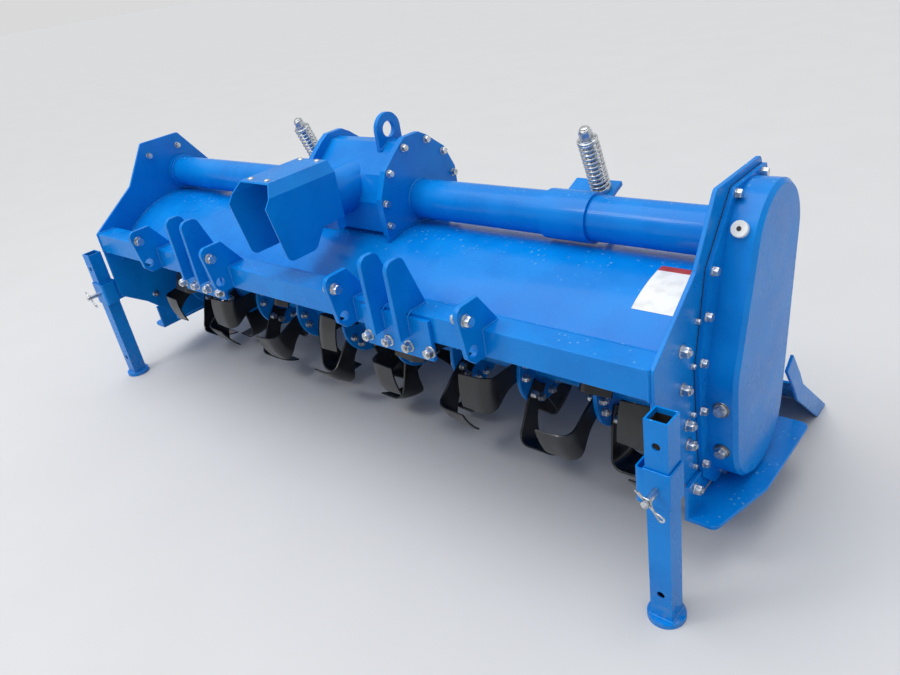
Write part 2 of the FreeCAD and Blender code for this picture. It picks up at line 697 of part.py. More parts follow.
def make_gearbox():
    """Cast housing with end flanges, the nose under the guard and the input shaft's bearing cap."""
    left_face = s.hitch_x - s.gearbox_left
    right_face = s.hitch_x + s.gearbox_right
    wall = s.gearbox_flange_wall
    body = plate("gearbox_body", "YZ_Plane", left_face, right_face - left_face,
                 gearbox_outline(s.gearbox_inset))
    flanges = [plate(f"gearbox_flange_{side}", "YZ_Plane", start, wall, gearbox_outline(0))
               for side, start in (("left", left_face), ("right", right_face - wall))]
    nose = plate("gearbox_nose", "XZ_Plane", -front(s.guard_rear), s.nose_front - s.guard_rear,
                 guard_section(s.guard_wall, input_z - s.nose_drop))
    neck = cylinder("gearbox_neck", "y", s.input_cap_radius, (s.hitch_x, front(s.guard_rear), input_z),
                    tube_y - front(s.guard_rear))
    cap_front = front(s.nose_front) - s.input_cap_length
    cap = cylinder("gearbox_cap", "y", s.input_cap_radius, (s.hitch_x, cap_front, input_z),
                   s.input_cap_length)
    bore = cylinder("gearbox_bore", "y", s.input_journal_radius + s.bearing_clearance,
                    (s.hitch_x, cap_front, input_z), s.input_cap_length)
    whole = fuse("gearbox_fused", [body, nose, neck, cap] + flanges)
    keep(cut("gearbox", whole, bore), "gearbox_housing")
    return cap_front


def make_input_shaft(cap_front):
    """Input shaft with a smooth journal in the bearing cap and a splined end."""
    journal_end = s.input_cap_length - s.leg_play
    journal = cylinder("input_journal", "y", s.input_journal_radius,
                       (s.hitch_x, cap_front - s.input_cap_length / 4, input_z),
                       journal_end + s.input_cap_length / 4)
    spline_front = cap_front - s.input_cap_length / 4 - s.input_length
    stem = cylinder("input_stem", "y", s.input_radius, (s.hitch_x, spline_front, input_z),
                    s.input_length)
    depth = float(s.input_radius - s.input_root_radius)
    width = float(s.spline_groove_width)
    centre = Vector(float(s.hitch_x), float(spline_front), float(input_z))
    groove = Part.makeBox(width, float(s.input_length - s.spline_relief), depth * 2,
                          centre + Vector(-width / 2, 0, float(s.input_root_radius)))
    grooves = []
    for number in range(SPLINE_COUNT):
        turned = groove.copy()
        turned.rotate(centre, Vector(0, 1, 0), number * 360 / SPLINE_COUNT)
        grooves.append(turned)
    tool = free_shape("input_grooves", Part.makeCompound(grooves))
    splined = cut("input_splined", stem, tool)
    keep(fuse("input", [journal, splined]), "input_shaft")


def make_gearbox_cradle():
    """Two cheeks between the hood and the gearbox seat."""
    roller = cylinder("cradle_roller", "x", s.deck_radius, (-inner_width, rotor_y, rotor_z),
                      inner_width * 2)
    cheeks = []
    for side, start in (("left", s.hitch_x - s.gearbox_left),
                        ("right", s.hitch_x + s.gearbox_right - s.cradle_wall)):
        block = box(f"cradle_{side}", (start, tube_y - s.gearbox_reach, rotor_z),
                    (start + s.cradle_wall, rear(s.deck_rear), gearbox_seat))
        cheeks.append(cut(f"cradle_cheek_{side}", block, roller))
    keep(group("cradle", cheeks), "gearbox_cradle")


def make_lifting_eye():
    """Upright ring plate on the gearbox top."""
    x = s.hitch_x + s.eye_x
    z = tube_z + s.gearbox_rise - s.gearbox_inset + s.eye_rise
    disc = cylinder("eye_disc", "x", s.eye_radius, (x, tube_y, z), s.eye_wall)
    foot = box("eye_foot", (x, tube_y - s.eye_radius, tube_z),
               (x + s.eye_wall, tube_y + s.eye_radius, z))
    housing = plate("eye_seat", "YZ_Plane", x, s.eye_wall, gearbox_outline(s.gearbox_inset))
    hole = cylinder("eye_hole", "x", s.eye_hole_radius, (x, tube_y, z), s.eye_wall)
    keep(cut("eye", fuse("eye_blank", [disc, foot]), housing, hole), "lifting_eye")


def make_pto_guard():
    """Folded sheet over the input shaft, open in front and below."""
    skirt = input_z - s.guard_skirt_drop
    back = input_z - s.guard_back_drop
    face = front(s.guard_rear)
    section = guard_section(0, skirt) + guard_section(s.guard_wall, skirt)[::-1]
    shell = plate("guard_shell", "XZ_Plane", -face, s.guard_lip_front - s.guard_rear, section)
    side = (
        (face, guard_top),
        (front(s.guard_front), guard_top),
        (front(s.guard_lip_front), guard_top - s.guard_lip_drop),
        (front(s.guard_toe_front), skirt),
        (front(s.guard_heel_front), skirt),
        (front(s.guard_back_front), back),
        (face, back),
    )
    profile = plate("guard_profile", "YZ_Plane", s.hitch_x - s.guard_half_width,
                    s.guard_half_width * 2, side, rounds=((s.guard_round, (3, 4)),))
    keep(common("guard", shell, profile), "pto_guard")


def ear_outline():
    """Plate that hooks over the beam's top edge and hangs down its front face."""
    top = s.beam_top + s.ear_rise
    low = s.beam_top - s.ear_drop
    return (
        (beam_front_y, low),
        (front(s.ear_toe_front) + s.ear_round, low),
        (front(s.ear_toe_front), low + s.ear_round),
        (front(s.ear_front), top),
        (beam_front_y, top),
        (beam_front_y + s.ear_heel, s.beam_top),
        (beam_front_y, s.beam_top),
    )


def make_hitch_ears(label, offset):
    """A pair of lower link ears on the beam."""
    ears = []
    for side, sign in SIDES:
        start = s.hitch_x + offset * sign - s.ear_wall / 2
        holes = ((front(s.ear_pin_front), s.beam_top - s.ear_pin_drop, s.ear_pin_radius),
                 (front(s.ear_bolt_front), s.beam_top + s.ear_bolt_rise, s.ear_bolt_radius))
        ears.append(plate(f"{label}_{side}", "YZ_Plane", start, s.ear_wall, ear_outline(), holes,
                          ((s.ear_round, (3,)),)))
    keep(group(label, ears), f"{label}_hitch_ears")


def make_rib_brackets():
    """Two pairs of tall ribs, each pair on a bolted base plate."""
    face = beam_front_y - s.base_plate_wall
    foot = s.beam_top - s.rib_foot_drop
    head = s.beam_top + s.rib_rise
    outline = (
        (face, foot),
        (front(s.rib_front), foot),
        (front(s.rib_front), head),
        (front(s.rib_head_front), head),
        (beam_front_y + s.ear_heel, s.beam_top),
        (beam_front_y, s.beam_top),
        (face, s.beam_top),
    )
    brackets = []
    for side, sign in SIDES:
        pieces = []
        for name, offset in (("inner", s.rib_inner_x), ("outer", s.rib_outer_x)):
            start = s.hitch_x + offset * sign - s.ear_wall / 2
            pieces.append(plate(f"rib_{side}_{name}", "YZ_Plane", start, s.ear_wall, outline,
                                rounds=((s.rib_round, (2, 3)),)))
        edges = [s.hitch_x + (s.rib_inner_x - s.base_plate_margin) * sign,
                 s.hitch_x + (s.rib_outer_x + s.base_plate_margin) * sign]
        left, right = edges if sign > 0 else edges[::-1]
        pieces.append(box(f"rib_base_{side}", (left, face, s.beam_top - s.base_plate_drop),
                          (right, beam_front_y, s.beam_top - s.base_plate_top_drop)))
        brackets.append(fuse(f"rib_bracket_{side}", pieces))
    keep(group("ribs", brackets), "rib_brackets")


def case_outline():
    """Many-sided edge of the side-drive cover's flange and gasket."""
    crown = tube_z + s.case_flange_rise
    return (
        (front(s.case_crown_front), crown),
        (rear(s.case_crown_rear), crown),
        (rear(s.case_waist_rear), tube_z - s.case_back_drop),
        (rear(s.case_waist_rear), s.case_waist_z),
        (rear(s.case_foot_half), s.case_foot_z),
        (rear(s.case_toe_half), s.case_toe_z),
        (front(s.case_toe_half), s.case_toe_z),
        (front(s.case_foot_half), s.case_foot_z),
        (front(s.case_waist_front), s.case_waist_z),
        (front(s.case_shoulder_front), tube_z + s.case_shoulder_rise),
    )


def make_side_case():
    """Cover of the side drive with its flange, the gasket under it and the filler cap."""
    keep(plate("case_gasket", "YZ_Plane", s.half_width, s.case_gasket_wall, case_outline()),
         "side_case_gasket")
    start = s.half_width + s.case_gasket_wall
    rim = plate("case_rim", "YZ_Plane", start, s.case_flange_wall, case_outline())
    depth = float(s.case_depth - s.case_gasket_wall)
    circles = (
        (float(tube_y), float(tube_z), float(s.case_upper_radius)),
        (float(rotor_y), float(s.case_middle_z), float(s.case_middle_radius)),
        (float(rotor_y), float(rotor_z), float(s.case_lower_radius)),
    )
    bulge = Part.Face(belt_wire(float(start), circles)).extrude(Vector(depth, 0, 0))
    outer = [edge for edge in bulge.Edges
             if all(vertex.X > float(start) + depth - 0.01 for vertex in edge.Vertexes)]
    bulge = bulge.makeChamfer(float(s.case_chamfer), outer)
    keep(fuse("case_cover", [rim, free_shape("case_bulge", bulge)]), "side_case_cover")
    angle = math.radians(float(s.cap_angle))
    aim = Vector(0, math.cos(angle), math.sin(angle))
    centre = Vector(float(s.half_width + s.cap_x), float(tube_y), float(tube_z))
    sunk = float(s.cap_length)
    cap = Part.makeCylinder(float(s.cap_radius), sunk + float(s.cap_length),
                            centre + aim * (float(s.case_upper_radius) - sunk), aim)
    keep(free_shape("cap", cap.cut(bulge)), "oil_cap")


def make_skid(side, sign):
    """Flat sole outside the side plate, held by an upright strap at each end."""
    near = s.half_width * sign
    far = (s.half_width + s.skid_reach) * sign
    outline = (
        (near, front(s.skid_front)),
        (far - s.skid_chamfer_width * sign, front(s.skid_front)),
        (far, front(s.skid_front) + s.skid_chamfer_length),
        (far, rear(s.skid_rear)),
        (near, rear(s.skid_rear)),
    )
    pieces = [plate(f"{side}_sole", "XY_Plane", s.skid_low, s.skid_wall, outline,
                    rounds=((s.skid_round, (1, 3)),))]
    edges = (near, near + s.skid_wall * sign)
    left, right = edges if sign > 0 else edges[::-1]
    top = s.skid_low + s.skid_wall
    for name, start in (("front", front(s.skid_front)),
                        ("rear", rear(s.skid_rear) - s.skid_strap_width)):
        pieces.append(box(f"{side}_strap_{name}", (left, start, top),
                          (right, start + s.skid_strap_width, top + s.skid_strap_height)))
    keep(fuse(f"{side}_skid_fused", pieces), f"{side}_skid")


def make_leg(side, sign):
    """Square parking leg with a round foot, open at the top."""
    x = leg_offset * sign
    half = s.leg_size / 2
    hollow = half - s.leg_wall
    foot = cylinder(f"{side}_foot", "z", s.foot_radius, (x, leg_y, 0), s.foot_height)
    outer = box(f"{side}_leg_outer", (x - half, leg_y - half, s.foot_height),
                (x + half, leg_y + half, s.leg_top))
    inner = box(f"{side}_leg_inner", (x - hollow, leg_y - hollow, s.foot_height),
                (x + hollow, leg_y + hollow, s.leg_top))
    holes = [cylinder(f"{side}_leg_hole_{number}", "y", s.leg_hole_radius,
                      (x, leg_y - s.leg_size, height), s.leg_size * 2)
             for number, height in enumerate((s.leg_hole_low + s.foot_height,
                                              s.leg_top - s.leg_hole_top))]
    square = cut(f"{side}_leg_tube", outer, inner, *holes)
    keep(fuse(f"{side}_leg_fused", [foot, square]), f"{side}_leg")


def make_leg_socket(side, sign):
    """Square sleeve that the leg slides in, with a tongue along the side plate."""
    x = leg_offset * sign
    top = s.socket_low + s.socket_height
    opening = s.leg_size / 2 + s.leg_play
    outer = box(f"{side}_socket_outer", (x - socket_half, leg_y - socket_half, s.socket_low),
                (x + socket_half, leg_y + socket_half, top))
    inner = box(f"{side}_socket_inner", (x - opening, leg_y - opening, s.socket_low),
                (x + opening, leg_y + opening, top))
    edges = (s.half_width * sign, (s.half_width + s.socket_wall) * sign)
    left, right = edges if sign > 0 else edges[::-1]
    tongue = box(f"{side}_socket_tongue", (left, leg_y + socket_half, s.socket_low),
                 (right, leg_y + socket_half + s.socket_wing, top))
    keep(cut(f"{side}_socket", fuse(f"{side}_socket_blank", [outer, tongue]), inner),
         f"{side}_leg_socket")


def make_leg_pins():
    """Locking pins that stand out of the front of the sockets."""
    middle = s.socket_low + s.socket_height / 2
    pins = [cylinder(f"{side}_pin", "y", s.pin_radius,
                     (leg_offset * sign, leg_y - socket_half - s.pin_length, middle), s.pin_length)
            for side, sign in SIDES]
    keep(group("pins", pins), "leg_pins")


def make_rotor_bearings():
    """Bearing rings inside the side plates and the closed cap on the left one."""
    rings = []
    for side, start in (("left", -inner_width), ("right", inner_width - s.bearing_length)):
        rings.append(tube(f"{side}_bearing", "x", s.bearing_radius,
                          s.bearing_radius - s.stub_radius - s.bearing_clearance,
                          (start, rotor_y, rotor_z), s.bearing_length))
    keep(group("bearings", rings), "rotor_bearings")
    keep(cylinder("bearing_cap", "x", s.bearing_radius,
                  (-s.half_width - s.bearing_cap_length, rotor_y, rotor_z), s.bearing_cap_length),
         "left_bearing_cap")


def make_rotor_tube():
    """Rotor tube with a stub shaft at each end."""
    end = s.half_width - s.rotor_end_gap
    pipe = tube("rotor_pipe", "x", s.rotor_tube_radius, s.rotor_tube_wall, (-end, rotor_y, rotor_z),
                end * 2)
    length = inner_width - end - s.leg_play + s.rotor_tube_radius
    stubs = [cylinder(f"rotor_stub_{side}", "x", s.stub_radius, (start, rotor_y, rotor_z), length)
             for side, start in (("left", -inner_width + s.leg_play),
                                 ("right", end - s.rotor_tube_radius))]
    plugs = [cylinder(f"rotor_plug_{side}", "x", s.rotor_tube_radius, (start, rotor_y, rotor_z),
                      s.rotor_tube_wall)
             for side, start in (("left", -end), ("right", end - s.rotor_tube_wall))]
    keep(fuse("rotor", [pipe] + stubs + plugs), "rotor_tube")


def blade_shape(angle, bend):
    """One blade at an angle round the rotor, its end bent along X by bend (-1 or 1)."""
    width, wall = float(s.blade_width), float(s.blade_wall)
    root, reach = float(s.blade_root), float(s.blade_reach)
    face = float(s.disc_wall) / 2 if bend > 0 else -float(s.disc_wall) / 2 - wall
    turns = [share * math.radians(float(s.blade_hook_arc)) for share in HOOK_SHARES]
    inner, outer = ([Vector(face, radius * math.cos(turn), radius * math.sin(turn)) for turn in turns]
                    for radius in (reach - wall, reach))
    shank = prism([Vector(face, root, -width / 2)] + inner + [Vector(face, root, width / 2)],
                  Vector(wall, 0, 0))
    tip = prism(outer + inner[::-1], Vector(bend * float(s.blade_hook), 0, 0))
    if bend < 0:
        tip.translate(Vector(wall, 0, 0))
    blade = shank.fuse(tip)
    blade.rotate(Vector(0, 0, 0), Vector(1, 0, 0), angle)
    return blade


def make_rotor_discs():
    """Blade discs, each fused with its blades, on the rotor tube."""
    solids = []
    step = 360 / BLADES_PER_DISC
    wall = float(s.disc_wall)
    first = float(s.left_disc_gap - s.half_width)
    spacing = float(s.half_width * 2 - s.left_disc_gap - s.right_disc_gap) / (DISC_COUNT - 1)
    bore_corner = float(s.rotor_tube_radius) / math.cos(math.pi / DISC_BORE_EDGES)
    for number in range(DISC_COUNT):
        blank = prism(regular(-wall / 2, float(s.disc_radius), DISC_EDGES), Vector(wall, 0, 0))
        bore = prism(regular(-wall / 2, bore_corner, DISC_BORE_EDGES), Vector(wall, 0, 0))
        blades = []
        for blade in range(BLADES_PER_DISC):
            bend = 1 if blade % 2 else -1
            if number == 0:
                bend = 1
            if number == DISC_COUNT - 1:
                bend = -1
            blades.append(blade_shape((blade + number * DISC_STAGGER) * step, bend))
        solid = blank.cut(bore).multiFuse(blades).removeSplitter()
        solid.translate(Vector(first + spacing * number, float(rotor_y), float(rotor_z)))
        solids.append(solid)
    keep(free_shape("discs", Part.makeCompound(solids)), "rotor_blade_discs")


def board_normal(start, end):
    """Unit vector square to a panel, on its rear upper side."""
    dy, dz = end[0] - start[0], end[1] - start[1]
    length = math.hypot(dy, dz)
    return -dz / length, dy / length


def offset_line(points, wall):
    """The line beside points at a wall's distance, on their rear upper side, with mitred corners."""
    normals = [board_normal(a, b) for a, b in zip(points, points[1:])]
    line = [(points[0][0] + normals[0][0] * wall, points[0][1] + normals[0][1] * wall)]
    for index, (first, second) in enumerate(zip(normals, normals[1:]), start=1):
        total = (first[0] + second[0], first[1] + second[1])
        scale = 2 * wall / (total[0] ** 2 + total[1] ** 2)
        line.append((points[index][0] + total[0] * scale, points[index][1] + total[1] * scale))
    line.append((points[-1][0] + normals[-1][0] * wall, points[-1][1] + normals[-1][1] * wall))
    return line


def panel(points, wall, x_low, x_high):
    """A folded sheet along points, its wall on the rear upper side, between two X places."""
    return prism(yz(x_low, points + offset_line(points, wall)[::-1]), Vector(x_high - x_low, 0, 0))


def board_line():
    """Front face of the trailing board in the YZ plane: upper edge, bend and lip."""
    return [
        (float(hinge_y + s.board_top_back), float(hinge_z - s.board_top_drop)),
        (float(rear(s.board_bend_rear)), float(s.board_bend_z)),
        (float(rear(s.board_lip_rear)), 0.0),
    ]


def floor_block():
    """Everything below the ground."""
    size = 4 * float(s.half_width)
    return Part.makeBox(size, size, size, Vector(-size / 2, -size / 2, -size))


def make_trailing_board():
    """Bent board with its hinge sleeves; the lower panel is wider than the side plates' gap."""
    wall = float(s.board_wall)
    top, bend, lip = board_line()
    share = float(s.board_wing_rear - s.board_bend_rear) / float(s.board_lip_rear - s.board_bend_rear)
    wing = (bend[0] + (lip[0] - bend[0]) * share, bend[1] + (lip[1] - bend[1]) * share)
    narrow = float(inner_width - s.board_side_gap)
    wide = float(s.half_width + s.board_reach - s.board_end_wall)
    upper = panel([top, bend, lip], wall, -narrow, narrow)
    lower = panel([wing, lip], wall, -wide, wide)
    shape = upper.fuse(lower)
    radius, bore = float(s.hinge_sleeve_radius), float(s.hinge_pin_radius + s.bearing_clearance)
    length = float(s.hinge_sleeve_length)
    y, z = float(hinge_y), float(hinge_z)
    for place in hinge_places:
        start = Vector(float(place) - length / 2, y, z)
        sleeve = Part.makeCylinder(radius, length, start, Vector(1, 0, 0))
        leaf = prism(yz(start.x, ((y - wall, z), (y + radius, z), (top[0] + wall, top[1] - wall),
                                  (top[0], top[1] - wall))), Vector(length, 0, 0))
        hole = Part.makeCylinder(bore, length, start, Vector(1, 0, 0))
        shape = shape.fuse(sleeve).fuse(leaf).cut(hole)
    keep(free_shape("board", shape.cut(floor_block()).removeSplitter()), "trailing_board")


def make_board_ends():
    """Bent straps at the two ends of the board, outside the side plates."""
    wall = float(s.board_end_wall)
    line = [(float(rear(s.arm_top_rear)), float(s.arm_top_z)),
            (float(rear(s.arm_knee_rear)), float(s.arm_knee_z))]
    line += offset_line(board_line(), float(s.board_wall))[1:]
    far = float(s.half_width + s.board_reach)
    straps = [panel(line, -float(s.board_end_width), low, low + wall).cut(floor_block())
              for low in (-far, far - wall)]
    keep(free_shape("board_ends", Part.makeCompound(straps)), "board_end_straps")


def rod_line():
    """Foot pin, guide centre and unit direction of the spring rods, in the YZ plane."""
    foot = (float(rear(s.rod_foot_rear)), float(s.rod_foot_z))
    guide = (float(rear(s.rod_guide_rear)), float(tube_z + s.rod_guide_rise))
    length = math.dist(foot, guide)
    aim = Vector(0, (guide[0] - foot[0]) / length, (guide[1] - foot[1]) / length)
    return foot, guide, aim


def make_board_lugs():
    """Lug pairs with the rod pins, on the rear of the board."""
    (y, z), _, _ = rod_line()
    line = board_line()
    (top_y, top_z), (bend_y, bend_z) = line[:2]
    radius, spread = float(s.lug_radius), float(s.lug_spread)
    side = float(s.rod_eye_width) / 2 + float(s.lug_gap)
    thick = float(s.lug_wall)
    width = float(s.half_width)
    board = panel(line, float(s.board_wall), -width, width)

    def on_board(height):
        share = (top_z - height) / (top_z - bend_z)
        return top_y + (bend_y - top_y) * share, height

    outline = (on_board(z + spread), (y, z + radius), (y + radius, z), (y, z - radius),
               on_board(z - spread))
    solids = []
    for place in (s.rod_left_x, s.rod_right_x):
        x = float(place)
        webs = [prism(yz(start, outline), Vector(thick, 0, 0)).cut(board)
                for start in (x - side - thick, x + side)]
        pin = Part.makeCylinder(float(s.rod_pin_radius), 2 * (side + thick),
                                Vector(x - side - thick, y, z), Vector(1, 0, 0))
        solids.append(webs[0].fuse([webs[1], pin]).removeSplitter())
    keep(free_shape("lugs", Part.makeCompound(solids)), "board_rod_lugs")


def make_spring_rod(side, place):
    """Rod with its eye, washers and nut, and the spring that sits on it."""
    foot, guide, aim = rod_line()
    lean = math.degrees(math.atan2(-aim.y, aim.z))
    x = float(place)
    base = Vector(x, foot[0], foot[1])
    hole_radius = float(s.rod_pin_radius + s.bearing_clearance)
    eye_width = float(s.rod_eye_width)
    reach = math.dist(foot, guide)
    seat = reach + float(s.guide_wall) / 2 + float(s.leg_play)
    wall = float(s.washer_wall)
    shank = Part.makeCylinder(float(s.rod_radius), reach + float(s.rod_above_guide), base, aim)
    eye = Part.makeCylinder(float(s.rod_eye_radius), eye_width, base - Vector(eye_width / 2, 0, 0),
                            Vector(1, 0, 0))
    hole = Part.makeCylinder(hole_radius, eye_width, base - Vector(eye_width / 2, 0, 0),
                             Vector(1, 0, 0))
    top = seat + wall + float(s.spring_length)
    radius = float(s.spring_radius)
    low_washer = Part.makeCylinder(radius, wall, base + aim * seat, aim)
    high_washer = Part.makeCylinder(float(s.top_washer_radius), wall, base + aim * top, aim)
    nut = prism(regular(0, float(s.nut_radius), NUT_EDGES), Vector(float(s.nut_height), 0, 0))
    nut.rotate(Vector(0, 0, 0), Vector(0, 1, 0), -90)
    nut.rotate(Vector(0, 0, 0), Vector(1, 0, 0), lean)
    nut.translate(base + aim * (top + wall))
    rod = shank.fuse(eye).fuse(low_washer).fuse(high_washer).fuse(nut).cut(hole)
    keep(free_shape(f"{side}_rod_shape", rod), f"{side}_spring_rod")
    wire = float(s.spring_wire)
    sleeve = Part.makeCylinder(radius, float(s.spring_length), base + aim * (seat + wall), aim)
    core = Part.makeCylinder(radius - wire, float(s.spring_length), base + aim * (seat + wall), aim)
    keep(free_shape(f"{side}_spring_shape", sleeve.cut(core)), f"{side}_spring")


def make_rod_guide(side, place):
    """Collar round the top tube with the slotted plate that guides the rod."""
    _, guide, aim = rod_line()
    x = float(place)
    lean = math.degrees(math.atan2(-aim.y, aim.z))
    wall = float(s.guide_wall)
    reach, tail = float(s.guide_reach), float(s.guide_tail)
    half = float(s.guide_half_width)
    left = x - reach
    length = reach + half
    centre = Vector(x, guide[0], guide[1])
    blank = Part.makeBox(length, reach + tail, wall, Vector(left, -reach, -wall / 2))
    slot_width, slot_length = float(s.guide_slot_width), float(s.guide_slot_length)
    straight = slot_length - slot_width
    slot = Part.makeBox(slot_width, straight, wall * 2, Vector(x - slot_width / 2, -straight / 2, -wall))
    ends = [Part.makeCylinder(slot_width / 2, wall * 2, Vector(x, end * straight / 2, -wall))
            for end in (-1, 1)]
    leaf = blank.cut(slot.multiFuse(ends))
    leaf.rotate(Vector(0, 0, 0), Vector(1, 0, 0), lean)
    leaf.translate(Vector(0, centre.y, centre.z))
    axis_start = Vector(left, float(tube_y), float(tube_z))
    collar = Part.makeCylinder(float(s.tube_radius + s.collar_wall), length, axis_start, Vector(1, 0, 0))
    bore = Part.makeCylinder(float(s.tube_radius), length, axis_start, Vector(1, 0, 0))
    keep(free_shape(f"{side}_guide", collar.fuse(leaf).cut(bore).removeSplitter()),
         f"{side}_rod_guide")


def build():
    """Make every sub-part in order."""
    make_front_beam()
    for side, sign in SIDES:
        make_side_plate(side, sign)
    make_hood_deck()
    make_rear_rail()
    left_face = s.hitch_x - s.gearbox_left
    right_face = s.hitch_x + s.gearbox_right
    make_top_tube("left", -inner_width, left_face + inner_width, -inner_width)
    make_top_tube("right", right_face, inner_width - right_face, inner_width - s.tube_flange_wall)
    cap_front = make_gearbox()
    make_input_shaft(cap_front)
    make_gearbox_cradle()
    make_lifting_eye()
    make_pto_guard()
    make_hitch_ears("inner", s.inner_ear_x)
    make_hitch_ears("outer", s.outer_ear_x)
    make_rib_brackets()
    make_side_case()
    for side, sign in SIDES:
        make_skid(side, sign)
        make_leg_socket(side, sign)
        make_leg(side, sign)
    make_leg_pins()
    make_rotor_bearings()
    make_rotor_tube()
    make_rotor_discs()
    make_trailing_board()
    make_board_ends()
    make_board_lugs()
    for side, place in (("left", s.rod_left_x), ("right", s.rod_right_x)):
        make_spring_rod(side, place)
        make_rod_guide(side, place)


def check_and_export():
    """Refuse failed objects and bad shapes, then write each sub-part to its own file."""
    doc.recompute()
    for item in doc.Objects:
        if "Invalid" in item.State or "Error" in item.State:
            raise RuntimeError(f"{item.Label} did not build: {item.State}")
    os.makedirs("parts", exist_ok=True)
    bounds = FreeCAD.BoundBox()
    for piece in parts:
        shape = piece.Shape
        if shape.isNull() or not shape.isValid() or not shape.Solids:
            raise RuntimeError(f"{piece.Label} has no valid solid")
        bounds.add(shape.BoundBox)
        shape.exportStep(f"parts/{piece.Label}.step")
        print(f"{piece.Label}: {len(shape.Solids)} solids, {shape.Volume / 1e6:.3f} litres")
    print(f"{len(parts)} parts, box {bounds}")


build()
check_and_export()
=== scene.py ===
"""Looks of a tractor-mounted rotavator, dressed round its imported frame.

Metres, +Z up, ground at z = 0. The tractor side faces -Y and the drive case is on +X.
Lengths named ahead or behind are measured along Y from the rotor axis.
"""
from __future__ import annotations

import json
import logging
import math
from dataclasses import dataclass, field
from enum import Enum
from typing import Any, Sequence

import bmesh
import bpy
import numpy as np
from mathutils import Matrix, Vector

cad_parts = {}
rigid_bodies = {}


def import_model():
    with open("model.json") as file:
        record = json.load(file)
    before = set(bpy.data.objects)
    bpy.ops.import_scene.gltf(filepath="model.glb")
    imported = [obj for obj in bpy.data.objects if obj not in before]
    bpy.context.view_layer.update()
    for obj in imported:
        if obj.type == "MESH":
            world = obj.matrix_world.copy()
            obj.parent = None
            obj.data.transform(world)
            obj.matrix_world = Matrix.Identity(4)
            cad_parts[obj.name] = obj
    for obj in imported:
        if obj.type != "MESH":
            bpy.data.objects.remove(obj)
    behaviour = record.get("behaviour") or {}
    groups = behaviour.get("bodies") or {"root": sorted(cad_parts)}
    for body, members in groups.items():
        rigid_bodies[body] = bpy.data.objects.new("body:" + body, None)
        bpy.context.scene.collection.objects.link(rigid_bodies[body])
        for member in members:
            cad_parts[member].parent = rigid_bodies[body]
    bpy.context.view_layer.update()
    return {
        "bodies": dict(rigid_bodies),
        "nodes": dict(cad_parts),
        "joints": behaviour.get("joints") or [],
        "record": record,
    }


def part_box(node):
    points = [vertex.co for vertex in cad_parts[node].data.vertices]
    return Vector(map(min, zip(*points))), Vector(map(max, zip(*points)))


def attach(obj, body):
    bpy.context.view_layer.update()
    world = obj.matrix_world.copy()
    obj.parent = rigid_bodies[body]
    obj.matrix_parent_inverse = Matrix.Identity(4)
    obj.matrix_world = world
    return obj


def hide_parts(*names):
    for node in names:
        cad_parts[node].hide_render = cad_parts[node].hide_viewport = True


LOG = logging.getLogger("rotavator")
X_AXIS = (1.0, 0.0, 0.0)
Y_AXIS = (0.0, 1.0, 0.0)
Z_AXIS = (0.0, 0.0, 1.0)


class Body(str, Enum):
    """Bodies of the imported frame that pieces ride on."""

    FRAME = "frame"
    ROTOR = "rotor"
    INPUT = "input"
    BOARD = "trailing_board"
    LEFT_LEG = "left_leg"
    RIGHT_LEG = "right_leg"
    LEFT_ROD = "left_rod"
    RIGHT_ROD = "right_rod"


class Slot(str, Enum):
    """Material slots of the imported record."""

    PAINT = "blue_paint"
    BLADE = "blade_steel"
    ZINC = "zinc_plate"
    MACHINED = "machined_steel"
    GASKET = "gasket"
    CAP = "cap_plastic"


def linear(colour: str) -> tuple[float, float, float, float]:
    """Turn an sRGB hex colour into linear red, green, blue and full alpha."""
    parts = [int(colour[start:start + 2], 16) / 255 for start in (1, 3, 5)]
    red, green, blue = (
        part / 12.92 if part <= 0.04045 else ((part + 0.055) / 1.055) ** 2.4 for part in parts
    )
    return red, green, blue, 1.0


def add_node(tree: bpy.types.NodeTree, kind: str, inputs: dict[Any, Any] | None = None,
             **settings: Any) -> bpy.types.Node:
    """Add a shader node with its settings and links.

    Args:
        tree: node tree that gets the node.
        kind: type name of the node.
        inputs: socket name or number to a value, or to another node's output socket.
        settings: properties of the node.

    Returns:
        The new node.
    """
    node = tree.nodes.new(kind)
    for name, value in settings.items():
        setattr(node, name, value)
    for name, value in (inputs or {}).items():
        if isinstance(value, bpy.types.NodeSocket):
            tree.links.new(value, node.inputs[name])
        else:
            node.inputs[name].default_value = value
    return node


def empty_material(name: str) -> tuple[bpy.types.Material, bpy.types.NodeTree, bpy.types.NodeSocket]:
    """A node material with no shader yet, its tree and the Object coordinates that it reads."""
    material = bpy.data.materials.new(name)
    material.use_nodes = True
    tree = material.node_tree
    tree.nodes.clear()
    return material, tree, add_node(tree, "ShaderNodeTexCoord").outputs["Object"]


def mix_colours(tree: bpy.types.NodeTree, share: Any, first: Any, second: Any) -> bpy.types.NodeSocket:
    """Blend two colours by a share from 0, the first, to 1, the second."""
    node = add_node(tree, "ShaderNodeMix", {0: share, 6: first, 7: second}, data_type="RGBA")
    return node.outputs[2]


def ramp(tree: bpy.types.NodeTree, value: Any, low: float, high: float, start: float = 0.0,
         end: float = 1.0) -> bpy.types.NodeSocket:
    """Map a value from low..high to start..end with soft ends."""
    node = add_node(tree, "ShaderNodeMapRange",
                    {"Value": value, "From Min": low, "From Max": high, "To Min": start, "To Max": end},
                    interpolation_type="SMOOTHSTEP")
    return node.outputs["Result"]


def noise(tree: bpy.types.NodeTree, place: Any, size: float, detail: float = 2.0) -> bpy.types.NodeSocket:
    """Cloudy noise whose patches are about size metres across."""
    node = add_node(tree, "ShaderNodeTexNoise", {"Vector": place, "Scale": 1 / size, "Detail": detail})
    return node.outputs["Fac"]


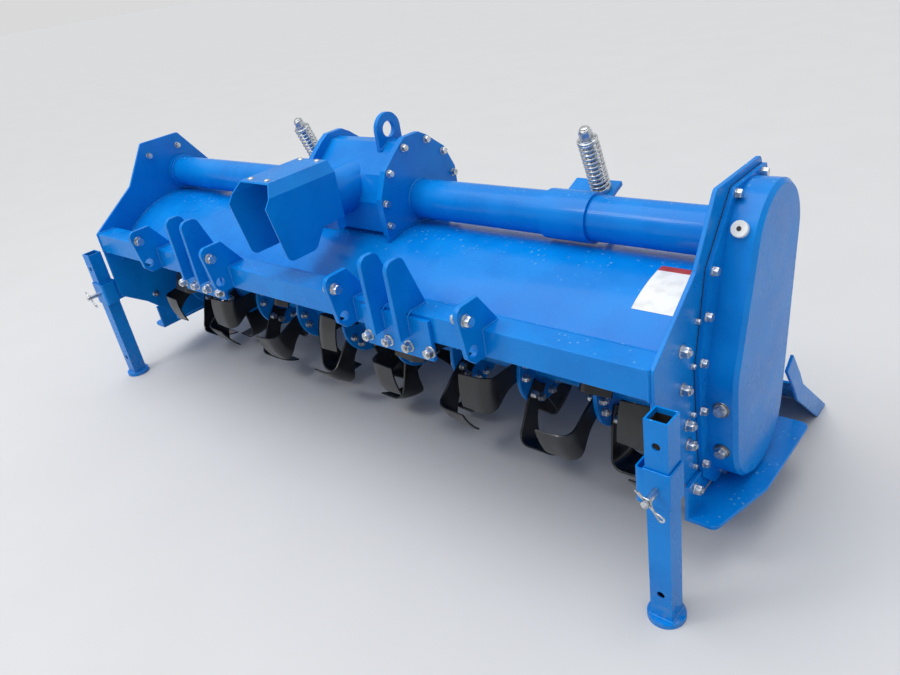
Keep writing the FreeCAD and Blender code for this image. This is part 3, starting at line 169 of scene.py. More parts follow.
@dataclass(frozen=True)
class PowderCoat:
    """Polyester powder coat on welded steel, baked to a gloss.

    The eye sees an even bright blue under a glossy coat that looks damp, fine orange peel about 3 mm
    across, a slightly deeper cast in patches, rain drops on level faces whose painted highlight is a
    pale blue mixed into the colour, and yard dust near the ground.
    """

    name: str = "blue powder coat"
    colour: str = "#0083DB"
    deep: str = "#007AD2"
    # pale blue of the painted highlight on the rain drops, standing in for reflected light
    drop_glint_and_bump: str = "#6FB4EC"
    dust: str = "#8F8B84"
    cloud: float = 0.12
    peel: float = 0.003
    drop: float = 0.014
    dust_height: float = 0.16
    gloss: tuple[float, float] = (0.24, 0.34)

    def build(self) -> bpy.types.Material:
        """Make the material."""
        material, tree, place = empty_material(self.name)
        cloud = noise(tree, place, self.cloud, 3.0)
        blue = mix_colours(tree, ramp(tree, cloud, 0.35, 0.65), linear(self.deep), linear(self.colour))
        height = add_node(tree, "ShaderNodeSeparateXYZ", {0: place}).outputs["Z"]
        near_ground = ramp(tree, height, 0.0, self.dust_height, 0.34, 0.0)
        grime = ramp(tree, noise(tree, place, 0.018, 8.0), 0.42, 0.72)
        dusty = add_node(tree, "ShaderNodeMath", {0: near_ground, 1: grime}, operation="MULTIPLY")
        low, high = self.gloss
        rough = ramp(tree, noise(tree, place, 0.06, 4.0), 0.3, 0.7, low, high)
        rough = add_node(tree, "ShaderNodeMath", {0: rough, 1: dusty.outputs[0]}, operation="ADD")
        cells = add_node(tree, "ShaderNodeTexVoronoi", {"Vector": place, "Scale": 1 / self.drop})
        shade = add_node(tree, "ShaderNodeSeparateColor", {0: cells.outputs["Color"]})
        reach = ramp(tree, shade.outputs["Red"], 0.1, 1.0, 0.0, 0.36)
        swell = add_node(tree, "ShaderNodeMath", {0: reach, 1: cells.outputs["Distance"]},
                         operation="SUBTRACT")
        normal = add_node(tree, "ShaderNodeNewGeometry").outputs["True Normal"]
        upward = add_node(tree, "ShaderNodeSeparateXYZ", {0: normal}).outputs["Z"]
        level = ramp(tree, upward, 0.9, 0.99)
        dome = ramp(tree, swell.outputs[0], 0.0, 0.2)
        drops = add_node(tree, "ShaderNodeMath", {0: dome, 1: level}, operation="MULTIPLY")
        # Painted highlight: where there are drops, the blue is mixed halfway to the pale drop colour.
        glint = add_node(tree, "ShaderNodeMath", {0: drops.outputs[0], 1: 0.5}, operation="MULTIPLY")
        blue_with_drop_glints = mix_colours(tree, glint.outputs[0], blue, linear(self.drop_glint_and_bump))
        colour = mix_colours(tree, dusty.outputs[0], blue_with_drop_glints, linear(self.dust))
        peel = add_node(tree, "ShaderNodeBump",
                        {"Strength": 0.08, "Distance": 0.0004, "Height": noise(tree, place, self.peel)})
        drop_glint_and_bump = add_node(tree, "ShaderNodeBump", {"Strength": 0.8, "Distance": 0.0016,
                                                "Height": drops.outputs[0], "Normal": peel.outputs[0]})
        shader = add_node(tree, "ShaderNodeBsdfPrincipled", {
            "Base Color": colour, "Roughness": rough.outputs[0], "IOR": 1.5,
            "Specular IOR Level": 0.18, "Coat Weight": 0.14, "Coat Roughness": 0.08,
            "Normal": drop_glint_and_bump.outputs[0]})
        add_node(tree, "ShaderNodeOutputMaterial", {0: shader.outputs[0]})
        return material


@dataclass(frozen=True)
class Metal:
    """Bare or plated steel: a tinted mirror, clouded by handling marks of a given size."""

    name: str
    colour: str
    stain: str
    gloss: tuple[float, float]
    mark: float = 0.012
    grain: float = 0.0008
    relief: float = 0.00008

    def build(self) -> bpy.types.Material:
        """Make the material."""
        material, tree, place = empty_material(self.name)
        marks = noise(tree, place, self.mark, 4.0)
        colour = mix_colours(tree, ramp(tree, marks, 0.4, 0.72), linear(self.colour), linear(self.stain))
        low, high = self.gloss
        rough = ramp(tree, marks, 0.3, 0.75, low, high)
        bump = add_node(tree, "ShaderNodeBump", {"Strength": 0.5, "Distance": self.relief,
                                                 "Height": noise(tree, place, self.grain, 3.0)})
        shader = add_node(tree, "ShaderNodeBsdfPrincipled", {
            "Base Color": colour, "Roughness": rough, "Metallic": 1.0, "Normal": bump.outputs[0]})
        add_node(tree, "ShaderNodeOutputMaterial", {0: shader.outputs[0]})
        return material


@dataclass(frozen=True)
class Coating:
    """A dull or satin coat that isn't metallic: paint dip, fibre, sealant or moulded plastic."""

    name: str
    colour: str
    stain: str
    gloss: tuple[float, float]
    mark: float = 0.03
    grain: float = 0.0015
    relief: float = 0.0002
    coat: float = 0.0

    def build(self) -> bpy.types.Material:
        """Make the material."""
        material, tree, place = empty_material(self.name)
        marks = noise(tree, place, self.mark, 5.0)
        colour = mix_colours(tree, ramp(tree, marks, 0.45, 0.75), linear(self.colour), linear(self.stain))
        low, high = self.gloss
        rough = ramp(tree, marks, 0.3, 0.75, low, high)
        bump = add_node(tree, "ShaderNodeBump", {"Strength": 0.6, "Distance": self.relief,
                                                 "Height": noise(tree, place, self.grain, 3.0)})
        shader = add_node(tree, "ShaderNodeBsdfPrincipled", {
            "Base Color": colour, "Roughness": rough, "IOR": 1.48, "Coat Weight": self.coat,
            "Normal": bump.outputs[0]})
        add_node(tree, "ShaderNodeOutputMaterial", {0: shader.outputs[0]})
        return material


@dataclass(frozen=True)
class Finishes:
    """Every finish of the machine, built once."""

    paint: bpy.types.Material
    zinc: bpy.types.Material
    spring: bpy.types.Material
    blade: bpy.types.Material
    machined: bpy.types.Material
    gasket: bpy.types.Material
    cap: bpy.types.Material
    mark: bpy.types.Material
    label: bpy.types.Material
    band: bpy.types.Material
    rust: bpy.types.Material

    @classmethod
    def build(cls) -> "Finishes":
        """Make all materials."""
        return cls(
            paint=PowderCoat().build(),
            zinc=Metal("bright zinc plate", "#D4D7DA", "#A4A8AB", (0.26, 0.42)).build(),
            spring=Metal("zinc plated spring wire", "#DCDFE1", "#B4B8BB", (0.24, 0.36)).build(),
            blade=Coating("black dip paint on forged steel", "#131518", "#232527", (0.27, 0.46),
                          mark=0.05, coat=0.3).build(),
            machined=Metal("machined oiled steel", "#8D8F91", "#6B6A68", (0.25, 0.4)).build(),
            gasket=Coating("dark fibre gasket", "#2B2320", "#151212", (0.6, 0.8), mark=0.008).build(),
            cap=Coating("moulded white polypropylene", "#F0F1EF", "#DFE0DC", (0.3, 0.42)).build(),
            mark=Coating("moulded dark insert", "#2E3032", "#1E2022", (0.4, 0.5)).build(),
            label=Coating("white vinyl label", "#ECEDEA", "#D9DAD7", (0.3, 0.45), relief=0.00004).build(),
            band=Coating("red printed band", "#B4453C", "#A03A33", (0.3, 0.45), relief=0.00004).build(),
            rust=Coating("light rust on bare tube", "#1E1714", "#43261B", (0.8, 0.95), mark=0.02,
                         relief=0.0006).build(),
        )


def unit(vector: Sequence[float] | np.ndarray) -> np.ndarray:
    """Vectors scaled to length one along the last axis."""
    values = np.asarray(vector, float)
    return values / np.maximum(np.linalg.norm(values, axis=-1, keepdims=True), 1e-12)


def across(axis: Sequence[float]) -> tuple[np.ndarray, np.ndarray]:
    """Two directions square to an axis and to each other."""
    aim = unit(axis)
    helper = np.array(Z_AXIS) if abs(aim[2]) < 0.9 else np.array(X_AXIS)
    side = unit(np.cross(helper, aim))
    return side, np.cross(aim, side)


def turned(profile: Sequence[tuple[float, float]], centre: Sequence[float], axis: Sequence[float],
           segments: int = 32) -> np.ndarray:
    """Surface of revolution.

    A point is centre + axis * height + radius * (side * cos(turn) + lift * sin(turn)).

    Args:
        profile: radius and height of each ring.
        centre: point on the axis at height 0.
        axis: direction of the axis.
        segments: points round the axis.

    Returns:
        Rows of points, one row for each ring.
    """
    aim = unit(axis)
    side, lift = across(axis)
    turn = np.linspace(0, 2 * math.pi, segments, endpoint=False)
    ring = np.cos(turn)[:, None] * side + np.sin(turn)[:, None] * lift
    radius, height = np.array(profile, float).T
    return np.asarray(centre, float) + height[:, None, None] * aim + radius[:, None, None] * ring


def hexagon(centre: Sequence[float], axis: Sequence[float], width: float, height: float,
            segments: int = 24) -> np.ndarray:
    """Hexagonal head: the radius at a turn is half the width over the cosine from its flat.

    The upper edge is turned down to a circle, as on a real head.
    """
    aim = unit(axis)
    side, lift = across(axis)
    turn = np.linspace(0, 2 * math.pi, segments, endpoint=False)
    flat = width / 2 / np.cos(np.mod(turn + math.pi / 6, math.pi / 3) - math.pi / 6)
    top = np.minimum(flat, width * 0.505)
    radii = np.stack([flat * 0, flat, flat, top, top * 0])
    heights = np.array([0.0, 0.0, 0.82, 1.0, 1.0]) * height
    ring = np.cos(turn)[:, None] * side + np.sin(turn)[:, None] * lift
    return np.asarray(centre, float) + heights[:, None, None] * aim + radii[:, :, None] * ring


def circle(radius: float, count: int = 10) -> np.ndarray:
    """Points of a round section."""
    turn = np.linspace(0, 2 * math.pi, count, endpoint=False)
    return radius * np.stack([np.cos(turn), np.sin(turn)], axis=-1)


def swept(path: np.ndarray, section: np.ndarray, up: Sequence[float], closed: bool = False,
          scale: np.ndarray | None = None) -> np.ndarray:
    """Carry a section along a path.

    A ring is path + section.x * side + section.y * lift, with side square to the path and to up.
    """
    if closed:
        tangent = unit(np.roll(path, -1, axis=0) - np.roll(path, 1, axis=0))
    else:
        tangent = unit(np.gradient(path, axis=0))
    side = unit(np.cross(tangent, np.asarray(up, float)))
    lift = np.cross(side, tangent)
    swell = np.ones(len(path)) if scale is None else scale
    rings = section[None, :, :1] * side[:, None] + section[None, :, 1:] * lift[:, None]
    return path[:, None] + rings * swell[:, None, None]


def resampled(corners: Sequence[Sequence[float]], step: float) -> np.ndarray:
    """Points along straight runs between corners, about a step apart."""
    points = np.asarray(corners, float)
    runs = np.concatenate([[0.0], np.cumsum(np.linalg.norm(np.diff(points, axis=0), axis=1))])
    places = np.linspace(0, runs[-1], max(3, int(runs[-1] / step)))
    return np.stack([np.interp(places, runs, points[:, axis]) for axis in range(3)], axis=-1)


class Shape:
    """Collects numpy surfaces and turns them into one object."""

    def __init__(self) -> None:
        """Start with nothing."""
        self._points: list[np.ndarray] = []
        self._faces: list[list[int]] = []
        self._count = 0

    def grid(self, points: np.ndarray, wrap_rows: bool = False, wrap_columns: bool = True,
             capped: bool = False) -> "Shape":
        """Add rows of points as a surface.

        Args:
            points: array of rows, columns and three coordinates.
            wrap_rows: join the last row to the first.
            wrap_columns: join the last column to the first.
            capped: close the first and the last row with a face each.

        Returns:
            This shape, so that calls can follow each other.
        """
        rows, columns = points.shape[:2]
        index = self._count + np.arange(rows * columns).reshape(rows, columns)
        full = np.vstack([index, index[:1]]) if wrap_rows else index
        full = np.hstack([full, full[:, :1]]) if wrap_columns else full
        quads = np.stack([full[:-1, :-1], full[1:, :-1], full[1:, 1:], full[:-1, 1:]], axis=-1)
        self._faces += quads.reshape(-1, 4).tolist()
        if capped:
            self._faces += [index[0].tolist(), index[-1][::-1].tolist()]
        self._points.append(points.reshape(-1, 3))
        self._count += rows * columns
        return self

    def bolt(self, centre: Sequence[float], axis: Sequence[float], width: float,
             stud: float = 0.0, segments: int = 24, tall: float = 0.62) -> "Shape":
        """Add a washer and a hexagonal head on a face, with the bolt's end beyond a nut if asked.

        Args:
            centre: middle of the washer's seat.
            axis: direction away from the face.
            width: width across flats.
            stud: how far the bolt's end stands proud of its nut, or 0 for a head.
            segments: points round the washer.
            tall: height of the head as a share of its width.

        Returns:
            This shape.
        """
        aim = unit(axis)
        base = np.asarray(centre, float)
        wall = width * 0.12
        reach = width * 0.66
        self.grid(turned(((0, 0), (reach, 0), (reach, wall * 0.8), (reach * 0.97, wall), (0, wall)),
                         base, aim, segments))
        self.grid(hexagon(base + aim * wall, aim, width, width * tall, segments))
        if stud > 0:
            radius = width * 0.29
            self.grid(turned(((0, 0), (radius, 0), (radius, stud * 0.85), (radius * 0.8, stud), (0, stud)),
                             base + aim * (wall + width * (tall - 0.02)), aim, max(8, segments // 2)))
        return self

    def weld(self, corners: Sequence[Sequence[float]], radius: float = 0.0032,
             pitch: float = 0.007) -> "Shape":
        """Add a weld bead along corners: a round bead whose radius ripples once a pitch."""
        path = resampled(corners, 0.0022)
        places = np.concatenate([[0.0], np.cumsum(np.linalg.norm(np.diff(path, axis=0), axis=1))])
        ripple = 1 + 0.16 * np.abs(np.sin(math.pi * places / pitch)) + 0.05 * np.sin(places * 190)
        ends = np.minimum(1, np.minimum(places, places[-1] - places) / radius + 0.25)
        up = (0.31, 0.27, 0.91)
        return self.grid(swept(path, circle(radius, 8), up, scale=ripple * ends), capped=True)

    def make(self, name: str, body: Body, finish: bpy.types.Material, slot: Slot,
             crease: float = 35.0) -> bpy.types.Object:
        """Turn what was collected into one object that rides on a body.

        Doubles are merged, which closes the poles, and faces are turned outwards.
        """
        mesh = bpy.data.meshes.new(name)
        mesh.from_pydata(np.vstack(self._points).tolist(), [], self._faces)
        work = bmesh.new()
        work.from_mesh(mesh)
        bmesh.ops.remove_doubles(work, verts=work.verts, dist=1e-6)
        bmesh.ops.dissolve_degenerate(work, dist=1e-7, edges=work.edges)
        bmesh.ops.recalc_face_normals(work, faces=work.faces)
        work.to_mesh(mesh)
        work.free()
        mesh.polygons.foreach_set("use_smooth", np.ones(len(mesh.polygons), bool))
        mesh.set_sharp_from_angle(angle=math.radians(crease))
        mesh.materials.append(finish)
        piece = bpy.data.objects.new(name, mesh)
        bpy.context.scene.collection.objects.link(piece)
        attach(piece, body.value)
        LOG.info("%s: %d faces", name, len(mesh.polygons))
        return piece


@dataclass(frozen=True)
class Places:
    """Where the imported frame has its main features."""

    rotor_y: float
    rotor_z: float
    hitch_x: float
    input_z: float
    hinge: tuple[float, float]
    rod_foot: tuple[float, float]
    rod_x: dict[str, float]

    @classmethod
    def read(cls, frame: dict[str, Any]) -> "Places":
        """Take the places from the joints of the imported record."""
        spots = {joint["name"]: joint["pos_m"] for joint in frame["joints"] if "pos_m" in joint}
        rotor, shaft, hinge = spots["rotor_spin"], spots["input_spin"], spots["board_lift"]
        rods = {side: spots[f"{side}_rod_swing"] for side in ("left", "right")}
        return cls(rotor[1], rotor[2], shaft[0], shaft[2], (hinge[1], hinge[2]),
                   (rods["left"][1], rods["left"][2]), {side: rod[0] for side, rod in rods.items()})

    def at(self, x: float, behind: float, z: float) -> tuple[float, float, float]:
        """A point whose Y is given behind the rotor axis."""
        return x, self.rotor_y + behind, z


@dataclass
class Dresser:
    """What every sub-assembly needs: the frame, its places and the finishes."""

    frame: dict[str, Any]
    places: Places
    finishes: Finishes

    def box(self, node: str) -> tuple[Vector, Vector]:
        """Lowest and highest corner of a CAD node."""
        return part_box(node)


@dataclass
class Paintwork(Dresser):
    """Finishes of the CAD nodes, and the broken edges of the flat plates."""

    edge: float = 0.0016
    plates: tuple[str, ...] = (
        "front_beam", "left_side_plate", "right_side_plate", "inner_hitch_ears", "outer_hitch_ears",
        "rib_brackets", "gearbox_cradle", "left_skid", "right_skid", "board_end_straps",
        "gearbox_housing", "lifting_eye", "left_leg_socket", "right_leg_socket", "rear_rail",
    )

    def finish_of(self, slot: str) -> bpy.types.Material:
        """The finish that stands for a record slot."""
        return {
            Slot.PAINT.value: self.finishes.paint, Slot.BLADE.value: self.finishes.blade,
            Slot.ZINC.value: self.finishes.zinc, Slot.MACHINED.value: self.finishes.machined,
            Slot.GASKET.value: self.finishes.gasket, Slot.CAP.value: self.finishes.cap,
        }[slot]

    def dress(self) -> None:
        """Give every node its finish and round the edges of the plates."""
        slots = {part["node"]: part["material_slot"] for part in self.frame["record"]["subparts"]}
        for name, node in self.frame["nodes"].items():
            finish = self.finish_of(slots[name])
            for holder in node.material_slots:
                holder.material = finish
        for name in self.plates:
            self.soften(self.frame["nodes"][name])

    def soften(self, node: bpy.types.Object) -> None:
        """Round the crisp edges of a plate by a millimetre or two, as paint does."""
        weld = node.modifiers.new("join", "WELD")
        weld.merge_threshold = 2e-5
        flat = node.modifiers.new("flatten", "DECIMATE")
        flat.decimate_type = "DISSOLVE"
        flat.angle_limit = math.radians(0.5)
        bevel = node.modifiers.new("edges", "BEVEL")
        bevel.width = self.edge
        bevel.segments = 2
        bevel.limit_method = "ANGLE"
        bevel.angle_limit = math.radians(35)
        bevel.use_clamp_overlap = False
        smooth = node.modifiers.new("shade", "WEIGHTED_NORMAL")
        smooth.keep_sharp = True


@dataclass
class RotorSet(Dresser):
    """Blade discs with their bolted C blades, on the rotor tube."""

    discs: int = 10
    blades: int = 6
    stagger: float = 0.4
    disc_radius: float = 0.122
    disc_wall: float = 0.012
    tube_radius: float = 0.045
    blade_wall: float = 0.008
    blade_root: float = 0.064
    blade_reach: float = 0.2445
    blade_side: float = 0.107
    bend_radius: float = 0.034
    hook_half: float = 0.235
    bolt_radius: float = 0.1
    bolt_width: float = 0.019

    def disc_places(self) -> np.ndarray:
        """X of each disc, from the ends of the CAD node."""
        low, high = self.box("rotor_blade_discs")
        return np.linspace(low.x + self.disc_wall / 2, high.x - self.disc_wall / 2, self.discs)

    def blade_settings(self) -> list[tuple[float, float, int]]:
        """Disc place, turn and side of every blade; the end discs carry only inward blades."""
        settings = []
        step = 2 * math.pi / self.blades
        for number, place in enumerate(self.disc_places()):
            for blade in range(self.blades):
                side = 1 if blade % 2 else -1
                if number == 0:
                    side = 1
                if number == self.discs - 1:
                    side = -1
                settings.append((float(place), (blade + number * self.stagger) * step, side))
        return settings

    def blade_middle(self, along: np.ndarray, width: np.ndarray) -> np.ndarray:
        """Middle surface of a blade that points along +Y and is bent towards +X.

        The path runs out from the root, round the bend and along X; a point is turned round the
        rotor by its share of the width, which grows from the shank to the hook.
        """
        bend = self.bend_radius
        outer = self.blade_reach - self.blade_wall / 2
        near = self.disc_wall / 2 + self.blade_wall / 2
        shank = outer - bend - self.blade_root
        arc = bend * math.pi / 2
        hook = self.blade_side - near - bend
        run = along * (shank + arc + hook)
        turn = np.clip((run - shank) / bend, 0, math.pi / 2)
        radius = self.blade_root + np.minimum(run, shank) + bend * np.sin(turn)
        x = near + bend * (1 - np.cos(turn)) + np.maximum(run - shank - arc, 0)
        grow = np.clip((along - 0.16) / 0.5, 0, 1)
        grow = grow * grow * (3 - 2 * grow)
        shank_half = 0.031 / radius
        half = shank_half * (1 - grow) + self.hook_half * grow
        taper = 1 - 0.08 * np.clip((along - 0.7) / 0.3, 0, 1)
        angle = grow * self.hook_half * 0.75 + width * half * taper
        return np.stack([x, radius * np.cos(angle), radius * np.sin(angle)], axis=-1)

    def blade_surface(self) -> np.ndarray:
        """Closed skin of one blade: the middle surface moved out along its normal on both sides."""
        rows = np.linspace(0, 1, 30)
        loop = np.array([(-1, 0), (-0.97, 1), (-0.5, 1), (0, 1), (0.5, 1), (0.97, 1), (1, 0),
                         (0.97, -1), (0.5, -1), (0, -1), (-0.5, -1), (-0.97, -1)], float)
        along, width = np.meshgrid(rows, loop[:, 0], indexing="ij")
        small = 1e-4
        ahead = self.blade_middle(np.minimum(along + small, 1), width)
        behind = self.blade_middle(np.maximum(along - small, 0), width)
        across_it = self.blade_middle(along, width + small) - self.blade_middle(along, width - small)
        normal = unit(np.cross(ahead - behind, across_it))
        wall = self.blade_wall / 2 * (1 - 0.35 * along[..., None])
        return self.blade_middle(along, width) + normal * wall * loop[None, :, 1:]

    def dress(self) -> None:
        """Build discs, blades, bolts and welds in place of the CAD node."""
        centre = np.array([0.0, self.places.rotor_y, self.places.rotor_z])
        skin = self.blade_surface()
        blades, bolts, discs, welds = Shape(), Shape(), Shape(), Shape()
        for place, angle, side in self.blade_settings():
            turn = np.array([[1, 0, 0], [0, math.cos(angle), -math.sin(angle)],
                             [0, math.sin(angle), math.cos(angle)]])
            moved = (skin * (side, 1, 1)) @ turn.T + centre + (place, 0, 0)
            blades.grid(moved, capped=True)
            for offset in (-0.2, 0.2):
                aim = angle + offset
                spot = centre + (place, self.bolt_radius * math.cos(aim), self.bolt_radius * math.sin(aim))
                near = self.disc_wall / 2 + self.blade_wall
                bolts.bolt(spot + (side * near, 0, 0), (side, 0, 0), self.bolt_width, segments=12)
                bolts.bolt(spot - (side * self.disc_wall / 2, 0, 0), (-side, 0, 0), self.bolt_width,
                           stud=0.006, segments=12)
        half, edge = self.disc_wall / 2, 0.002
        rim = self.disc_radius
        inner = self.tube_radius + 0.0002
        for place in self.disc_places():
            spot = centre + (place, 0, 0)
            profile = ((inner, -half), (rim - edge, -half), (rim, edge - half), (rim, half - edge),
                       (rim - edge, half), (inner, half))
            discs.grid(turned(profile, spot, X_AXIS, 72), wrap_rows=True)
            for side in (-1, 1):
                turn = np.linspace(0, 2 * math.pi, 90, endpoint=False)
                ring = np.stack([turn * 0, np.cos(turn), np.sin(turn)], axis=-1) * self.tube_radius
                bead = spot + ring + (side * half, 0, 0)
                swell = 1 + 0.15 * np.abs(np.sin(turn * 22))
                welds.grid(swept(bead, circle(0.004, 8), X_AXIS, closed=True, scale=swell),
                           wrap_rows=True)
        blade_set = blades.make("c_blades", Body.ROTOR, self.finishes.blade, Slot.BLADE, 50)
        disc_set = discs.make("blade_discs", Body.ROTOR, self.finishes.paint, Slot.PAINT)
        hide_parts("rotor_blade_discs")
        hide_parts("rotor_blade_discs")
        bolts.make("blade_bolts", Body.ROTOR, self.finishes.zinc, Slot.ZINC)
        welds.make("disc_welds", Body.ROTOR, self.finishes.paint, Slot.PAINT, 60)


@dataclass
class SideDrive(Dresser):
    """Bolts and filler cap of the drive case, and the bolts of both side plates."""

    flange_bolts: tuple[tuple[float, float], ...] = (
        (0.127, 0.833), (-0.012, 0.832), (-0.122, 0.707), (-0.151, 0.618), (-0.173, 0.52),
        (-0.174, 0.401), (-0.162, 0.252), (-0.06, 0.164), (0.06, 0.166), (0.156, 0.256),
        (0.183, 0.401), (0.191, 0.522), (0.191, 0.62), (0.188, 0.7), (0.163, 0.77),
    )
    plate_bolts: tuple[tuple[float, float], ...] = (
        (-0.241, 0.581), (-0.239, 0.49), (-0.22, 0.389), (-0.216, 0.336),
    )
    plate_studs: tuple[tuple[float, float], ...] = (
        (-0.172, 0.615), (-0.194, 0.52), (-0.196, 0.401), (-0.187, 0.256),
    )
    left_bolts: tuple[tuple[float, float], ...] = (
        (-0.342, 0.528), (-0.228, 0.291), (0.067, 0.815), (-0.061, 0.809),
    )
    wall_bolts: tuple[tuple[float, float, float], ...] = ((0.043, -0.1475, 0.397), (0.043, -0.139, 0.282))
    strap_bolts: tuple[float, ...] = (-0.204, 0.202)
    strap_bolt_z: float = 0.208

    def dress(self) -> None:
        """Place every fastener of the case and of the side plates."""
        low, high = self.box("side_case_cover")
        plate_face = self.box("right_side_plate")[1].x
        flange_face = low.x + 0.01
        inner_face = self.box("right_side_plate")[0].x
        bolts = Shape()
        for behind, z in self.flange_bolts:
            bolts.bolt(self.places.at(flange_face, behind, z), X_AXIS, 0.017)
            bolts.bolt(self.places.at(inner_face, behind, z), (-1, 0, 0), 0.017, stud=0.004)
        for behind, z in self.plate_bolts:
            bolts.bolt(self.places.at(plate_face, behind, z), X_AXIS, 0.022, stud=0.006)
            bolts.bolt(self.places.at(-plate_face, behind, z), (-1, 0, 0), 0.022, stud=0.006)
        for behind, z in self.plate_studs:
            bolts.bolt(self.places.at(plate_face, behind, z), X_AXIS, 0.011, segments=12)
        for behind, z in self.left_bolts:
            bolts.bolt(self.places.at(-inner_face, behind, z), X_AXIS, 0.018, stud=0.005)
        for side in (-1, 1):
            for behind in self.strap_bolts:
                bolts.bolt(self.places.at(side * (plate_face + 0.01), behind, self.strap_bolt_z),
                           (side, 0, 0), 0.022, stud=0.005)
        bolts.make("case_and_plate_bolts", Body.FRAME, self.finishes.zinc, Slot.ZINC)
        self.wall_fasteners(plate_face)
        self.filler_cap()
        self.bearing_cap()

    def wall_fasteners(self, plate_face: float) -> None:
        """Large bolts with wide washers on the case's front wall."""
        washers, heads = Shape(), Shape()
        for x, behind, z in self.wall_bolts:
            spot = self.places.at(plate_face + x, behind, z)
            tilt = (0.0, -1.0, 0.07 if z > self.places.rotor_z else -0.16)
            washers.grid(turned(((0, -0.001), (0.0185, -0.001), (0.0185, 0.002), (0.0175, 0.003), (0, 0.003)),
                                spot, tilt, 40))
            heads.bolt(np.array(spot) + unit(tilt) * 0.0028, tilt, 0.022, segments=36, tall=0.5)
        washers.make("case_wall_washers", Body.FRAME, self.finishes.machined, Slot.ZINC)
        heads.make("case_wall_bolts", Body.FRAME, self.finishes.zinc, Slot.ZINC)

    def filler_cap(self) -> None:
        """Grip ribs and the dark insert of the oil filler cap."""
        low, high = self.box("oil_cap")
        middle = np.array((low + high) / 2)
        angle = math.radians(152)
        aim = np.array([0.0, math.cos(angle), math.sin(angle)])
        top = middle + aim * 0.0052
        turn = np.linspace(0, 2 * math.pi, 96, endpoint=False)
        radius = 0.0172 + 0.0007 * np.cos(turn * 24)
        side, lift = across(aim)
        ring = np.cos(turn)[:, None] * side + np.sin(turn)[:, None] * lift
        heights = np.array([-0.004, -0.004, 0.0, 0.002, 0.002])
        scale = np.array([0.0, 1.0, 1.0, 0.93, 0.0])
        skin = top + heights[:, None, None] * aim + (scale[:, None] * radius)[:, :, None] * ring
        cap = Shape().grid(skin)
        cap.make("filler_cap_grip", Body.FRAME, self.finishes.cap, Slot.CAP)
        insert = Shape().grid(turned(((0, 0.001), (0.005, 0.001), (0.005, 0.0028), (0, 0.0028)), top, aim, 24))
        insert.make("filler_cap_insert", Body.FRAME, self.finishes.mark, Slot.GASKET)

    def bearing_cap(self) -> None:
        """Bolts and grease nipple on the left rotor bearing's cap."""
        low, high = self.box("left_bearing_cap")
        centre = np.array([low.x, self.places.rotor_y, self.places.rotor_z])
        shape = Shape()
        for number in range(6):
            turn = math.radians(30 + number * 60)
            spot = centre + (0, 0.066 * math.cos(turn), 0.066 * math.sin(turn))
            shape.bolt(spot, (-1, 0, 0), 0.017)
        shape.grid(turned(((0, 0), (0.006, 0), (0.006, 0.006), (0.003, 0.008), (0.004, 0.012), (0, 0.014)),
                          centre, (-1, 0, 0), 20))
        shape.make("bearing_cap_bolts", Body.FRAME, self.finishes.zinc, Slot.ZINC)


@dataclass
class Hitch(Dresser):
    """Fasteners and weld beads of the beam, the link ears and the rib brackets."""

    ear_offsets: tuple[float, ...] = (-0.71, -0.282, 0.282, 0.71)
    rib_offsets: tuple[float, ...] = (-0.486, -0.399, 0.399, 0.486)
    ear_half: float = 0.007
    ear_bolt: tuple[float, float] = (-0.411, 0.646)
    base_bolts: tuple[float, ...] = (0.339, 0.41, 0.481, 0.552)
    base_bolt_z: float = 0.508

    def dress(self) -> None:
        """Place the bolts and lay the welds."""
        beam_low, beam_high = self.box("front_beam")
        bolts, welds = Shape(), Shape()
        behind, z = self.ear_bolt
        front, top, bottom = beam_low.y, beam_high.z, beam_low.z
        heel = front + 0.058
        for offset in self.ear_offsets:
            x = self.places.hitch_x + offset
            for side in (-1, 1):
                face = x + side * self.ear_half
                bolts.bolt(self.places.at(face, behind, z), (side, 0, 0), 0.024,
                           stud=0.007 if side < 0 else 0.0)
                welds.weld(((face, front, bottom + 0.004), (face, front, top), (face, heel, top)))
        base_face = front - 0.012
        for offset in self.rib_offsets:
            x = self.places.hitch_x + offset
            for side in (-1, 1):
                face = x + side * self.ear_half
                welds.weld(((face, base_face, bottom + 0.012), (face, base_face, top - 0.008),
                            (face, front, top), (face, heel, top)))
        for sign in (-1, 1):
            for offset in self.base_bolts:
                x = self.places.hitch_x + sign * offset
                bolts.bolt((x, base_face, self.base_bolt_z), (0, -1, 0), 0.024, stud=0.006)
        for sign in (-1, 1):
            x = sign * (beam_high.x - 0.001)
            welds.weld(((x, beam_high.y, bottom), (x, beam_high.y, top), (x, front, top),
                        (x, front, bottom), (x, beam_high.y, bottom)), 0.004)
        deck_top = self.box("hood_deck")[1].x
        rib = np.linspace(math.radians(150), math.radians(62), 40)
        for sign in (-1, 1):
            arch = [(sign * (deck_top - 0.001), self.places.rotor_y + 0.352 * math.cos(a),
                     self.places.rotor_z + 0.352 * math.sin(a)) for a in rib]
            welds.weld(arch, 0.003)
        bolts.make("hitch_bolts", Body.FRAME, self.finishes.zinc, Slot.ZINC)
        welds.make("hitch_welds", Body.FRAME, self.finishes.paint, Slot.PAINT, 60)


